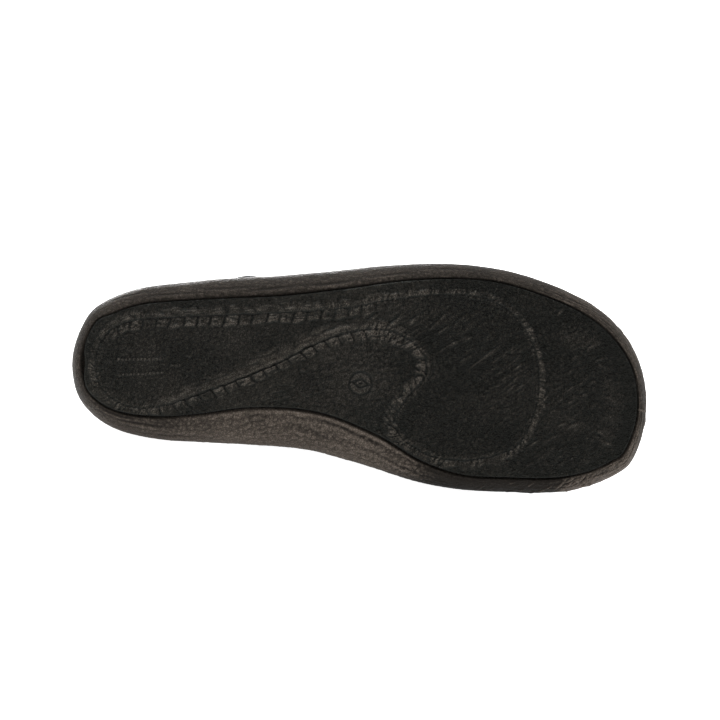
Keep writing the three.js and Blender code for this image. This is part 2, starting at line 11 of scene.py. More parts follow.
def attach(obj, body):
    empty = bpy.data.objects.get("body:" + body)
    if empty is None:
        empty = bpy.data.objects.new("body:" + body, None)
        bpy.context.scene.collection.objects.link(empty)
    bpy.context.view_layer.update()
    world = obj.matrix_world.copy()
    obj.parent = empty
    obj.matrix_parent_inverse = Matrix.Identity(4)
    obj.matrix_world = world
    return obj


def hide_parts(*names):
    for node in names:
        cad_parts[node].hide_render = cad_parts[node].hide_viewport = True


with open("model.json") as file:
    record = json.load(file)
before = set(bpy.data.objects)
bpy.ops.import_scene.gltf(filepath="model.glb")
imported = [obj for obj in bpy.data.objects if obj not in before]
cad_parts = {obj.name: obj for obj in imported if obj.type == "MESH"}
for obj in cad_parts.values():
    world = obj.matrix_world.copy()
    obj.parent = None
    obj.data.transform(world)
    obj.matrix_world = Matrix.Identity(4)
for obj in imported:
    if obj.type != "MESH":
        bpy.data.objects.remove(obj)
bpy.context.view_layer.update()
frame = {"record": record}
print("frame loaded")

# The slipper is drawn standing on its sole, in millimetres: x from the heel to the toe, y to the inner side
# of the foot, z up. layDown() takes such points to the place where it lies in the frame, in metres.
shoe = {
    "length": 288, "ballWidth": 111.6, "heelWidth": 77, "instepHeight": 84, "toeHeight": 47,
    "toeSpring": 9, "archLift": 3, "rimHeight": 30, "heelThickness": 16, "ballThickness": 9,
    "bowlWall": 4.5, "rimLean": 4.5, "rimLip": 2.4, "rimRound": 0.8, "waistFlare": 20,
    "grooveWidth": 1.6, "grooveDepth": 1.5, "upperWall": 2.2, "gap": 0.3,
    "widening": (0.2, 0.6),          # it goes from the heel's width to the ball's between these shares
    "pads": {"heel_pad": (50, 0, 0), "forefoot_pad": (202, -16, 0)},      # the flat spots of the tread
}
# The bowl's reach to its two sides, as shares of the width there, and its flares, as shares of the waist's.
outlineTable = {
    "columns": ("at", "outer", "inner", "outerFlare", "innerFlare"),
    "rows": [
        (0.015, 0.221, 0.266, 0.32, 0.33),
        (0.05, 0.357, 0.403, 0.43, 0.40),
        (0.10, 0.456, 0.479, 0.45, 0.49),
        (0.17, 0.534, 0.496, 0.49, 0.60),
        (0.24, 0.596, 0.466, 0.53, 0.73),
        (0.33, 0.610, 0.389, 0.54, 0.95),
        (0.43, 0.609, 0.319, 0.52, 1.00),
        (0.53, 0.618, 0.313, 0.45, 0.85),
        (0.62, 0.645, 0.338, 0.41, 0.56),
        (0.70, 0.657, 0.343, 0.37, 0.41),
        (0.78, 0.636, 0.319, 0.37, 0.39),
        (0.86, 0.583, 0.287, 0.35, 0.39),
        (0.92, 0.502, 0.235, 0.33, 0.39),
        (0.965, 0.381, 0.161, 0.28, 0.38),
        (0.99, 0.248, 0.083, 0.27, 0.34),
    ],
    "heelBack": (0, 0.032, 0.30), "toeTip": (1, -0.080, 0.28),            # at, inner and flare
}
sideTable = {            # side view of the sole, and how far the rim closes in on each side
    "columns": ("at", "spring", "arch", "rim", "widest", "heel", "outerLean", "innerLean"),
    "rows": [
        (0.00, 0.14, 0.0, 1.00, 0.49, 1.00, 0.6, 0.6),
        (0.06, 0.00, 0.0, 1.00, 0.48, 1.00, 0.5, 0.9),
        (0.26, 0.00, 0.0, 0.98, 0.48, 0.95, 0.4, 0.9),
        (0.34, 0.00, 0.5, 0.95, 0.50, 0.84, 0.4, 0.5),
        (0.42, 0.00, 1.0, 0.92, 0.52, 0.68, 0.4, 0.4),
        (0.50, 0.00, 0.6, 0.90, 0.51, 0.45, 0.4, 0.6),
        (0.58, 0.00, 0.0, 0.88, 0.49, 0.22, 0.4, 0.9),
        (0.72, 0.00, 0.0, 0.86, 0.48, 0.00, 0.4, 1.0),
        (0.80, 0.11, 0.0, 0.85, 0.48, 0.00, 0.4, 0.8),
        (0.90, 0.45, 0.0, 0.85, 0.50, 0.00, 0.5, 0.6),
        (1.00, 1.00, 0.0, 0.86, 0.54, 0.00, 0.5, 0.5),
    ],
}


def layMatrix():         # from the standing slipper to the frame, by the two pads that the record places
    mounts = {mount["name"]: mount for mount in frame["record"]["mounts"]}
    laid = [Vector(mounts[name]["pos_m"]) for name in shoe["pads"]]
    drawn = [Vector(place) * 0.001 for place in shoe["pads"].values()]

    def basis(heel, ball, down):
        ahead = (ball - heel).normalized()
        down = (down - ahead * down.dot(ahead)).normalized()
        return Matrix((ahead, down.cross(ahead), down)).transposed()

    turn = basis(*laid, Vector(mounts["heel_pad"]["axis"])) @ basis(*drawn, Vector((0, 0, -1))).transposed()
    return Matrix.Translation(laid[0] - turn @ drawn[0]) @ turn.to_4x4()


lay = np.array(layMatrix())


def layDown(points):
    return np.asarray(points, float) * 0.001 @ lay[:3, :3].T + lay[:3, 3]


def mix(a, b, share):
    return a + (b - a) * share


def smoothStep(value, low, high):
    share = np.clip((value - low) / (high - low), 0, 1)
    return share * share * (3 - 2 * share)


def between(value, start, low, high, end):       # 0 up to the start and from the end on, 1 from low to high
    return smoothStep(value, start, low) * (1 - smoothStep(value, high, end))


def bell(distance, width):
    return np.exp(-(distance / width) ** 2)


def unit(vectors):
    return vectors / np.linalg.norm(vectors, axis=-1, keepdims=True)


def pairs(*parts):                   # numbers side by side, as points
    return np.stack(np.broadcast_arrays(*parts), -1)


def walkedAlong(points):             # how far along the line each of its points lies
    return np.append(0, np.cumsum(np.linalg.norm(np.diff(points, axis=0), axis=1)))


def tableColumns(table):             # the columns of a table by name, an array each
    return dict(zip(table["columns"], np.array(table["rows"], float).T))


def column(table, name, at):         # a smooth curve through one column of a table
    given = tableColumns(table)
    places, values = given["at"], given[name]
    at = np.clip(at, places[0], places[-1])
    after = np.clip(np.searchsorted(places, at, side="right"), 1, len(places) - 1)
    before = after - 1
    last = np.where(before == 0, after, before - 1)
    following = np.where(after == len(places) - 1, before, after + 1)
    span = places[after] - places[before]
    p = (at - places[before]) / span
    a = span / 2 / (places[before] - places[last])
    b = span / 2 / (places[following] - places[after])
    return (
        values[last] * (-a * p**3 + 2 * a * p**2 - a * p)
        + values[before] * ((1 + a) * p**3 - (1.5 + 2 * a) * p**2 - (0.5 - a) * p + 1)
        + values[after] * (-(1 + b) * p**3 + (1.5 + b) * p**2 + 0.5 * p)
        + values[following] * (b * p**3 - b * p**2)
    )


# A smooth closed curve. Power 0 spaces its knots evenly, and 0.5 by the root of their distance.
def closedCurve(points, perSpan, power):
    points = np.asarray(points, float)
    a, b, c, d = (np.roll(points, shift, 0)[:, None] for shift in (1, 0, -1, -2))
    first, middle, last = (
        np.linalg.norm(end - start, axis=-1, keepdims=True) ** power
        for start, end in ((a, b), (b, c), (c, d))
    )
    leaving = ((b - a) / first - (c - a) / (first + middle) + (c - b) / middle) * middle
    arriving = ((c - b) / middle - (d - b) / (middle + last) + (d - c) / last) * middle
    p = (np.arange(perSpan) / perSpan)[None, :, None]
    curve = (
        b * (2 * p**3 - 3 * p**2 + 1) + leaving * (p**3 - 2 * p**2 + p)
        + c * (3 * p**2 - 2 * p**3) + arriving * (p**3 - p**2)
    )
    return curve.reshape(-1, points.shape[1])


def widthAt(at):
    return mix(shoe["heelWidth"], shoe["ballWidth"], smoothStep(at, *shoe["widening"]))


def onSole(at, inner):               # a place on the sole from shares of the length and of the width there
    at = np.asarray(at, float)
    return pairs(at * shoe["length"], np.asarray(inner) * widthAt(at))


def treadHeight(x):
    at = x / shoe["length"]
    spring = shoe["toeSpring"] * np.maximum(column(sideTable, "spring", at), 0)
    return spring + shoe["archLift"] * np.maximum(column(sideTable, "arch", at), 0)


def rimAt(x):
    return treadHeight(x) + shoe["rimHeight"] * column(sideTable, "rim", x / shoe["length"])


def widestAt(x):
    return mix(treadHeight(x), rimAt(x), column(sideTable, "widest", x / shoe["length"]))


def floorAt(x):
    heel = column(sideTable, "heel", x / shoe["length"])
    return treadHeight(x) + mix(shoe["ballThickness"], shoe["heelThickness"], heel)


# The outline as one closed curve, counted in rows: 0 is the back of the heel, the outer side follows, then
# the toe and the inner side. Each sample holds x, y, the flare and the direction outwards.
def outlineSamples(perRow, reach):
    given = tableColumns(outlineTable)
    outer = np.column_stack([onSole(given["at"], -given["outer"]), given["outerFlare"]])
    inner = np.column_stack([onSole(given["at"], given["inner"]), given["innerFlare"]])[::-1]
    heel, toe = (
        [*onSole(at, share), flare]
        for at, share, flare in (outlineTable["heelBack"], outlineTable["toeTip"])
    )
    points = np.vstack([heel, outer, toe, inner]) * (1, 1, shoe["waistFlare"])
    curve = closedCurve(points, perRow, power=0)
    along = np.roll(curve, -reach, 0) - np.roll(curve, reach, 0)
    return np.hstack([curve, unit(pairs(along[:, 1], -along[:, 0]))]), len(points)


outline, outlineRows = outlineSamples(perRow=48, reach=16)
toeRow = outlineRows / 2


class OutlineLine:                   # places round the outline, and lines beside it
    def __init__(self, rows):
        rows = np.mod(rows, outlineRows)
        steps = np.arange(len(outline) + 1) * outlineRows / len(outline)
        table = np.vstack([outline, outline[:1]])
        x, y, self.flare, outX, outY = (np.interp(rows, steps, values) for values in table.T)
        self.place = pairs(x, y)
        self.out = unit(pairs(outX, outY))
        at = x / shoe["length"]
        self.outerSide = rows < toeRow
        leans = (column(sideTable, name, at) for name in ("outerLean", "innerLean"))
        self.lean = shoe["rimLean"] * np.where(self.outerSide, *leans)

    def inset(self, distance, height):
        flat = self.place - self.out * np.broadcast_to(distance, self.flare.shape)[:, None]
        z = height(flat[:, 0]) if callable(height) else height
        return np.column_stack([flat, np.broadcast_to(z, self.flare.shape)])

    def wallInset(self, z):          # the inside wall of the bowl runs straight from its floor to its lip
        x = self.place[:, 0]
        share = (z - floorAt(x)) / (rimAt(x) - shoe["rimRound"] - floorAt(x))
        return mix(shoe["bowlWall"], self.lean + shoe["rimLip"], share)


# A ring has `across` steps round the heel and round the toe, and `along` steps down each side, so that a
# patch of quads fills it. It starts at the heel's inner corner.
ringCorners = {"heel": 2, "toe": 13}             # rows of the outline at the outer side's two corners


def ringRows(across, along, samples=600):
    heel, toe = ringCorners["heel"], ringCorners["toe"]
    rows = []
    for start, end, steps in (
        (-heel, heel, across), (heel, toe, along),
        (toe, 2 * toeRow - toe, across), (2 * toeRow - toe, 2 * toeRow - heel, along),
    ):
        fine = np.linspace(start, end, samples)
        walked = walkedAlong(OutlineLine(fine).place)
        rows.append(np.interp(np.arange(steps) / steps * walked[-1], walked, fine))
    return np.concatenate(rows)


def ringPatch(ring, across, along):              # a grid, its rows from the heel to the toe
    ring = np.asarray(ring)
    closed = np.vstack([ring, ring[:1]])
    heel = closed[: across + 1][None]
    outer = closed[across : across + along + 1][:, None]
    toe = closed[across + along : 2 * across + along + 1][::-1][None]
    inner = closed[2 * across + along :][::-1][:, None]
    u = (np.arange(along + 1) / along)[:, None, None]
    v = (np.arange(across + 1) / across)[None, :, None]
    sides = mix(heel, toe, u) + mix(inner, outer, v)
    return sides - mix(mix(heel[:, :1], heel[:, -1:], v), mix(toe[:, :1], toe[:, -1:], v), u)


def patchEdge(grid):                             # the patch's edge, in the order of its ring
    return np.concatenate([grid[0, :-1], grid[:-1, -1], grid[-1, :0:-1], grid[:0:-1, 0]])


def softened(grid, steps):           # the grid averaged over its neighbours, again and again
    for _ in range(steps):
        edged = np.pad(grid, 1, mode="edge")
        grid = (edged[:-2, 1:-1] + edged[2:, 1:-1] + edged[1:-1, :-2] + edged[1:-1, 2:] + 2 * grid) / 6
    return grid


# Where the relief stands out the colour turns paler, rubbed wear and a painted highlight together; beside
# raised parts and in the hollows it stays darker, painted shade.
def raisedShare(relief, look, lift=0):           # 0 in the hollows, 1 on what stands out far
    fine = (relief - softened(relief, look["softSteps"])) / look["fineRise"]
    return np.clip(look["level"] + lift + fine + relief / look["broadRise"], 0, 1)


lumpLattice = {"seed": 11, "cells": 64, "shift": 19.3}
lattice = np.random.default_rng(lumpLattice["seed"]).random((lumpLattice["cells"],) * 3) * 2 - 1


def lumps(points, size):             # soft random lumps of about that size, from -1 to 1
    points = np.asarray(points, float)
    if points.shape[-1] == 2:
        points = np.concatenate([points, np.zeros_like(points[..., :1])], -1)
    scaled = points / size + lumpLattice["shift"]
    cell = np.floor(scaled).astype(int)
    share = smoothStep(scaled - cell, 0, 1)
    total = np.zeros(points.shape[:-1])
    for corner in itertools.product((0, 1), repeat=3):
        weight = np.prod(np.where(corner, share, 1 - share), axis=-1)
        total += weight * lattice[tuple(np.moveaxis((cell + corner) % len(lattice), -1, 0))]
    return total


def cells(points, size, bend=0):     # random cells with sharp creases between them, 0 to 1
    return np.abs(lumps(points / size + bend, 1))


# Values that vary in soft lumps: `shift` picks other lumps than those used elsewhere.
def uneven(points, shift, size, level, spread, least=-np.inf, most=np.inf):
    return np.clip(level + spread * lumps(points + shift, size), least, most)


class Shell:                         # gathers points and faces, and becomes one mesh
    def __init__(self):
        self.points, self.faces, self.slots, self.count = [], [], [], 0

    def add(self, points):           # gives back the points' numbers
        points = np.asarray(points, float)
        self.points.append(points.reshape(-1, 3))
        first, self.count = self.count, self.count + points[..., 0].size
        return np.arange(first, self.count).reshape(points.shape[:-1])

    def quads(self, corners, slot=0):
        self.faces += corners.reshape(-1, 4).tolist()
        self.slots += [slot] * (corners.size // 4)

    def weave(self, grid, slot=0, closed=False):         # quads between the rows of an array of numbers
        if closed:
            grid = np.hstack([grid, grid[:, :1]])
        self.quads(np.stack([grid[:-1, :-1], grid[1:, :-1], grid[1:, 1:], grid[:-1, 1:]], -1), slot)

    def close(self, ring, middle, slot=0):               # bridges a ring across, from the point `middle` on
        half = len(ring) // 2
        one = np.roll(ring, -middle)[: half + 1]
        other = np.roll(ring[::-1], middle + 1)[: half + 1]
        self.faces += [[one[0], one[1], other[1]], [one[-2], one[-1], other[-2]]]
        self.slots += [slot] * 2
        self.quads(np.stack([one[1:-2], one[2:-1], other[2:-1], other[1:-2]], -1), slot)

    def normals(self):               # at each point, from the quads so far
        points = np.vstack(self.points)
        corners = np.array([face if len(face) == 4 else [*face, face[2]] for face in self.faces])
        a, b, c, d = points[corners].transpose(1, 0, 2)
        facing = np.cross(c - a, d - b)
        total = np.zeros_like(points)
        for k in range(4):
            np.add.at(total, corners[:, k], facing)
        return total / np.maximum(np.linalg.norm(total, axis=1, keepdims=True), 1e-12)

    def swell(self, numbers, amounts, towards):          # moves points along their normals, to that side
        points = np.vstack(self.points)
        facing = self.normals()[numbers]
        facing *= np.sign((facing * towards).sum())
        points[numbers] += facing * amounts[..., None]
        self.points = [points]

    def piece(self, name, slot, materials, replaces=(), raised=None):
        mesh = bpy.data.meshes.new(name)
        mesh.from_pydata(layDown(np.vstack(self.points)).tolist(), [], self.faces)
        for material in materials:
            mesh.materials.append(material)
        mesh.polygons.foreach_set("material_index", self.slots)
        turned = bmesh.new()
        turned.from_mesh(mesh)
        bmesh.ops.recalc_face_normals(turned, faces=turned.faces)
        turned.to_mesh(mesh)
        turned.free()
        mesh.polygons.foreach_set("use_smooth", [True] * len(mesh.polygons))
        # This share also carries painted light and shade: a painted highlight on raised relief, painted
        # shade in the hollows, and on the bowl's wall its painted light and shade.
        if raised is not None:       # how far each point stands out of its surroundings, for the material
            share = np.zeros(self.count)
            share[: raised.size] = raised.ravel()
            mesh.attributes.new("raised", "FLOAT", "POINT").data.foreach_set("value", share)
        mesh.update()
        made = bpy.data.objects.new(name, mesh)
        bpy.context.scene.collection.objects.link(made)
        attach(made, "root")
        if replaces:
            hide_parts(*replaces)
        print(f"{name}: {sum(len(face) - 2 for face in self.faces)} triangles")
        return made


# The camera looks square at the sole and is rolled, so that the toe points a little downwards.
cameraView = {
    "frameWidth": 360.05, "frameCentre": (142.0, -17.3, 15), "rollDegrees": 9.402,
    "lens": 150, "sensor": 36,
}


def makeCamera():
    roll = math.radians(cameraView["rollDegrees"])
    right = Vector((math.cos(roll), -math.sin(roll), 0))
    up = Vector((-math.sin(roll), -math.cos(roll), 0))
    turn = layMatrix().to_3x3() @ Matrix((right, up, right.cross(up))).transposed()
    data = bpy.data.cameras.new("camera")
    data.lens, data.sensor_width = cameraView["lens"], cameraView["sensor"]
    camera = bpy.data.objects.new("camera", data)
    distance = cameraView["frameWidth"] * 0.001 * data.lens / data.sensor_width
    place = Vector(layDown(cameraView["frameCentre"])) + turn.col[2] * distance
    camera.matrix_world = Matrix.Translation(place) @ turn.to_4x4()
    bpy.context.scene.collection.objects.link(camera)
    bpy.context.scene.camera = camera


makeCamera()
print("camera set")


def addNode(tree, kind, inputs=(), **settings):
    made = tree.nodes.new(kind)
    for name, value in settings.items():
        setattr(made, name, value)
    for name, value in dict(inputs).items():
        if isinstance(value, bpy.types.NodeSocket):
            tree.links.new(value, made.inputs[name])
        else:
            made.inputs[name].default_value = value
    return made


def calculate(tree, operation, *values):
    return addNode(tree, "ShaderNodeMath", dict(enumerate(values)), operation=operation).outputs[0]


def calculateVector(tree, operation, *values):
    return addNode(tree, "ShaderNodeVectorMath", dict(enumerate(values)), operation=operation).outputs[0]


def noise(tree, place, scale, detail, **more):
    inputs = {"Vector": place, "Scale": scale, "Detail": detail, **more}
    return addNode(tree, "ShaderNodeTexNoise", inputs).outputs


def mapRange(tree, value, low, high, start=0.0, end=1.0, kind="LINEAR"):     # start becomes low, end high
    inputs = {"Value": value, "From Min": start, "From Max": end, "To Min": low, "To Max": high}
    return addNode(tree, "ShaderNodeMapRange", inputs, interpolation_type=kind).outputs[0]


def scaledPlace(tree, size):         # object coordinates counted in steps of `size` millimetres
    place = addNode(tree, "ShaderNodeTexCoord").outputs["Object"]
    steps = calculate(tree, "DIVIDE", 1000.0, size)
    return addNode(tree, "ShaderNodeVectorMath", {0: place, "Scale": steps}, operation="SCALE").outputs[0]


# Node groups. Each puts out heights and masks that the materials use with their own values.
def newGroup(name, inputs, outputs):
    tree = bpy.data.node_groups.new(name, "ShaderNodeTree")
    for label, value in inputs.items():
        socket = tree.interface.new_socket(label, in_out="INPUT", socket_type="NodeSocketFloat")
        socket.default_value = value
    for label in outputs:
        tree.interface.new_socket(label, in_out="OUTPUT", socket_type="NodeSocketFloat")
    return tree, addNode(tree, "NodeGroupInput").outputs, addNode(tree, "NodeGroupOutput").inputs


def putOut(tree, put, **values):
    for name, value in values.items():
        tree.links.new(value, put[name])
    return tree


def makeGrain():         # leather grain: rounded cells with creases between them
    tree, given, put = newGroup("leatherGrain", {"Size": 1.2, "Crease": 0.25}, ("Height", "Creases"))
    place = scaledPlace(tree, given["Size"])
    bend = noise(tree, place, scale=0.9, detail=3.0)["Color"]
    bend = calculateVector(tree, "SUBTRACT", bend, (0.5, 0.5, 0.5))
    bent = calculateVector(tree, "MULTIPLY_ADD", bend, (1.1, 1.1, 1.1), place)
    inputs = {"Vector": bent, "Scale": 1.0}
    edges = addNode(tree, "ShaderNodeTexVoronoi", inputs, feature="DISTANCE_TO_EDGE").outputs["Distance"]
    domes = mapRange(tree, edges, 0.0, 1.0, end=given["Crease"], kind="SMOOTHSTEP")
    fine = noise(tree, place, scale=3.1, detail=5.0, Roughness=0.6)["Fac"]
    height = calculate(tree, "MULTIPLY_ADD", fine, 0.45, domes)
    return putOut(tree, put, Height=height, Creases=calculate(tree, "SUBTRACT", 1.0, domes))


def makeHandling():      # broad uneven shine and fine dust, as handling leaves them
    tree, given, put = newGroup("handling", {"Size": 18.0, "Dust Size": 0.7}, ("Patches", "Dust"))
    patches = noise(tree, scaledPlace(tree, given["Size"]), scale=1.0, detail=4.0)["Fac"]
    dust = noise(tree, scaledPlace(tree, given["Dust Size"]), scale=1.0, detail=6.0)["Fac"]
    dust = mapRange(tree, dust, 0.0, 1.0, start=0.56, end=0.8)
    return putOut(tree, put, Patches=patches, Dust=dust)


def makeWeave():         # a fine cloth: threads over and under each other
    tree, given, put = newGroup("weave", {"Size": 0.6, "Unevenness": 0.4}, ("Height",))
    place = scaledPlace(tree, given["Size"])
    parts = addNode(tree, "ShaderNodeSeparateXYZ", {"Vector": place}).outputs
    x, y, z = (calculate(tree, "SINE", calculate(tree, "MULTIPLY", parts[axis], math.pi)) for axis in "XYZ")
    woven = calculate(tree, "ADD", calculate(tree, "MULTIPLY", x, y), z)
    bent = noise(tree, place, scale=0.35, detail=3.0)["Fac"]
    return putOut(tree, put, Height=calculate(tree, "MULTIPLY_ADD", bent, given["Unevenness"], woven))


def makeNap():           # brushed fibres: soft streaks at two sizes
    tree, given, put = newGroup("nap", {"Size": 1.4}, ("Height", "Tufts"))
    place = scaledPlace(tree, given["Size"])
    fibres = noise(tree, place, scale=2.2, detail=8.0, Roughness=0.72, Distortion=1.4)["Fac"]
    tufts = noise(tree, place, scale=0.45, detail=4.0, Distortion=0.6)["Fac"]
    return putOut(tree, put, Height=calculate(tree, "MULTIPLY_ADD", tufts, 0.7, fibres), Tufts=tufts)


groups = {"grain": makeGrain(), "handling": makeHandling(), "weave": makeWeave(), "nap": makeNap()}


def newMaterial(name, values):
    material = bpy.data.materials.new(name)
    material.use_nodes = True
    tree = material.node_tree
    shader = tree.nodes["Principled BSDF"]
    for socket, value in values.items():
        shader.inputs[socket].default_value = value
    return material, tree, shader


def placeGroup(tree, name, values):
    return addNode(tree, "ShaderNodeGroup", values, node_tree=groups[name]).outputs


def blendColour(tree, share, low, high):
    made = addNode(tree, "ShaderNodeMix", {0: share}, data_type="RGBA")
    for k, value in ((6, low), (7, high)):
        if isinstance(value, bpy.types.NodeSocket):
            tree.links.new(value, made.inputs[k])
        else:
            made.inputs[k].default_value = (*value, 1)
    return made.outputs[2]


def dressShader(tree, shader, look, colour, share, height, depth):       # depth of the bump in millimetres
    inputs = {"Height": height, "Strength": look["bump"], "Distance": depth * 0.001}
    bump = addNode(tree, "ShaderNodeBump", inputs).outputs["Normal"]
    roughness = mapRange(tree, share, *look["roughness"])
    for socket, value in (("Base Color", colour), ("Roughness", roughness), ("Normal", bump)):
        tree.links.new(value, shader.inputs[socket])


def leatherLike(name, look):         # moulded or real leather: grain with painted shade in its creases, uneven shine, specks of dust
    material, tree, shader = newMaterial(name, look["shader"])
    grain = placeGroup(tree, "grain", {"Size": look["grainSize"], "Crease": look["crease"]})
    handling = placeGroup(tree, "handling", {"Size": look["patchSize"], "Dust Size": look["dustSize"]})
    colour = blendColour(tree, handling["Patches"], look["dark"], look["light"])
    # Painted shade: darker in the grain's creases.
    colour = blendColour(tree, grain["Creases"], colour, look["dark"])
    # Paler flecks on raised relief: rubbed wear and a painted highlight together.
    if "rubbedAndHighlight" in look:             # lighter flecks where the relief stands out
        share = addNode(tree, "ShaderNodeAttribute", attribute_name="raised").outputs["Fac"]
        flecks = calculate(tree, "MULTIPLY", share, mapRange(tree, grain["Height"], *look["flecks"]))
        colour = blendColour(tree, flecks, colour, look["rubbedAndHighlight"])
    dust = calculate(tree, "MULTIPLY", handling["Dust"], look["dust"])
    colour = blendColour(tree, dust, colour, look["dusty"])
    depth = look["grainSize"] / 4
    dressShader(tree, shader, look, colour, handling["Patches"], grain["Height"], depth)
    return material


def fibrous(name, look):             # cloth, thread or a brushed cover, in two colours
    material, tree, shader = newMaterial(name, look["shader"])
    nap = placeGroup(tree, "nap", {"Size": look["nap"]})
    height = placeGroup(tree, "weave", look["weave"])["Height"] if "weave" in look else nap["Height"]
    colour = blendColour(tree, nap["Tufts"], look["dark"], look["light"])
    if "worn" in look:
        handling = placeGroup(tree, "handling", {"Size": look["patchSize"]})
        colour = blendColour(tree, mapRange(tree, handling["Patches"], *look["wear"]), colour, look["worn"])
    dressShader(tree, shader, look, colour, nap["Tufts"], height, look["depth"])
    return material


# The seam moulded on the tread, a closed loop round the heel and the ball. `stitch` is the strength of its
# long cross stitches, inside the loop above zero and outside it below, `crinkle` that of its fine puckers,
# `reach` how far these go to each side in millimetres, and `step` the sharp edge on the outer side.
seam = {
    "columns": ("at", "inner", "stitch", "crinkle", "reach", "step"),
    "rows": [
        (0.043, 0.039, 0.0, 0.6, 3.2, 0.0),
        (0.054, -0.123, 0.1, 0.6, 3.2, 0.0),
        (0.090, -0.226, 0.7, 0.4, 3.2, 0.0),
        (0.190, -0.319, 1.0, 0.1, 3.0, 0.0),
        (0.326, -0.385, 1.0, 0.1, 3.0, 0.0),
        (0.462, -0.416, 0.6, 0.6, 3.0, 0.0),
        (0.526, -0.456, 0.1, 0.9, 2.6, 0.0),
        (0.620, -0.507, 0.0, 0.7, 2.4, 0.0),
        (0.685, -0.521, 0.0, 0.6, 2.4, 0.0),
        (0.731, -0.484, 0.0, 0.7, 2.4, 0.0),
        (0.768, -0.406, 0.0, 0.8, 2.4, 0.0),
        (0.799, -0.260, 0.0, 0.9, 2.6, 0.0),
        (0.807, -0.072, 0.0, 1.0, 2.4, 0.0),
        (0.785, 0.108, 0.0, 1.0, 2.6, 0.0),
        (0.743, 0.177, 0.0, 1.0, 3.0, 0.0),
        (0.691, 0.218, 0.0, 1.0, 3.2, 0.0),
        (0.634, 0.215, 0.0, 1.0, 3.4, 0.0),
        (0.582, 0.152, 0.0, 1.0, 3.8, 0.0),
        (0.566, 0.093, 0.0, 1.0, 3.8, 0.0),
        (0.582, -0.026, 0.0, 0.9, 3.8, 0.0),
        (0.606, -0.134, 0.0, 0.9, 3.6, 0.0),
        (0.600, -0.212, 0.0, 1.0, 4.0, 0.0),
        (0.570, -0.277, -0.2, 1.0, 4.6, 0.0),
        (0.530, -0.309, -0.5, 1.0, 5.0, 0.1),
        (0.478, -0.297, -0.8, 0.8, 4.6, 0.3),
        (0.430, -0.252, -0.9, 0.3, 4.0, 0.8),
        (0.328, -0.050, -0.9, 0.0, 3.0, 1.0),
        (0.226, 0.164, -0.9, 0.1, 3.0, 0.6),
        (0.163, 0.286, -0.5, 0.5, 3.0, 0.1),
        (0.122, 0.319, -0.1, 0.6, 3.2, 0.0),
        (0.075, 0.271, 0.0, 0.6, 3.2, 0.0),
        (0.049, 0.156, 0.0, 0.6, 3.2, 0.0),
    ],
    "perSpan": 40, "markSpacing": 0.6,
    # Sizes, widths and heights are in millimetres, and the uneven ones are for uneven(), after the points.
    "stitches": {
        "pitch": 6.8, "length": 4.8, "lengthUneven": (0, 5, 1, 0.25), "lipAt": (0.85, 0.2), "hidden": 0.8,
        "wobble": 0.1, "wobbleSize": 5, "shift": 0.1, "shiftSize": 4, "lean": 0.05, "puff": 1.1,
        "puffApart": 7.3, "puffUneven": (0, 1, 0.7, 0.9, 0.2, 1.4), "puffAlong": (1.2, 0.6),
        "puffPowers": (2.5, 3), "plain": 0.05, "ripple": 1.4, "rippleSize": (2.8, 1.1), "rippleBend": 0.4,
        "lip": 0.65, "lipWidth": 0.17, "lipBend": 0.1, "beyondPower": 2,
        "cut": 1, "cutWidth": 0.45, "cutBetween": (-0.15, 0.1, 0.75, 1.05), "cutUneven": (40, 6, 0.75, 0.5),
        "slant": 0.4, "slantFrom": 0.42, "slantLean": -0.14, "slantBend": 0.25, "slantPower": 0.8,
        "strip": 1.2, "stripSize": (4.5, 1.2), "stripBend": 0.6, "stripUneven": (60, 4, 0.5, 0.7, 0, 1),
        "valley": 0.2, "valleyWidth": 0.55,
    },
    "edge": {
        "bulge": 0.5, "reach": 5.0, "rise": (-0.35, 0.3), "level": 0.7, "spread": 0.4, "bendSize": 9,
        "wrinkle": 0.6, "wrinkleSize": (9, 1.9), "wrinkleBend": 0.6, "wrinkleBetween": (0.3, 1.2, 5, 9),
        "cut": 0.85, "cutWidth": 0.5, "cutAt": 0.25, "cutBend": 0.4, "ragged": 0.5, "raggedSize": 2.2,
    },
    "crinkles": {
        "height": 1.35, "heightUneven": (0, 5, 0.75, 0.9, 0.1, 1.5), "reachUneven": (30, 7, 1, 0.35),
        "pitch": 1.2, "lean": 0.35, "bendSize": 3.5, "pitchBend": 0.9, "longSize": (1, 3.6),
        "longBend": 0.4, "shortSize": (0.62, 1.7), "shortShift": (7, 0), "shortShare": 0.7, "mean": 0.27,
        "ridge": 0.15, "middle": 0.25, "fade": (0.3, 1.25),
        "crease": 0.45, "creaseAt": 0.6, "creaseBend": 0.5, "creaseWidth": 0.6,
    },
}


# For places on the sole: how far along the seam and how far inside it they are, the table's row there, and
# the seam's whole length.
def seamPlaces(places):
    given = tableColumns(seam)
    curve = closedCurve(onSole(given["at"], given["inner"]), seam["perSpan"], power=0.5)
    rows = np.arange(len(curve) + 1) / seam["perSpan"]
    curve = np.vstack([curve, curve[:1]])
    walked = walkedAlong(curve)
    steps = int(walked[-1] / seam["markSpacing"])
    marks = np.arange(steps) / steps * walked[-1]
    line = pairs(*(np.interp(marks, walked, values) for values in curve.T))
    along = unit(np.roll(line, -1, 0) - np.roll(line, 1, 0))
    inward = pairs(-along[:, 1], along[:, 0])
    parts = np.array_split(places.astype(np.float32), max(len(places) // 2000, 1))       # to save memory
    nearest = np.concatenate([np.argmin(((part[:, None] - line[None]) ** 2).sum(-1), 1) for part in parts])
    away = places - line[nearest]
    walkedThere = marks[nearest] + (away * along[nearest]).sum(-1)
    inside = (away * inward[nearest]).sum(-1)
    distance = np.sign(inside) * np.linalg.norm(away, axis=1)
    return walkedThere, distance, np.interp(marks, walked, rows)[nearest], walked[-1]


def flatTop(share, power):           # 0 at both ends, a level top between them
    return 1 - np.abs(2 * np.clip(share, 0, 1) - 1) ** power


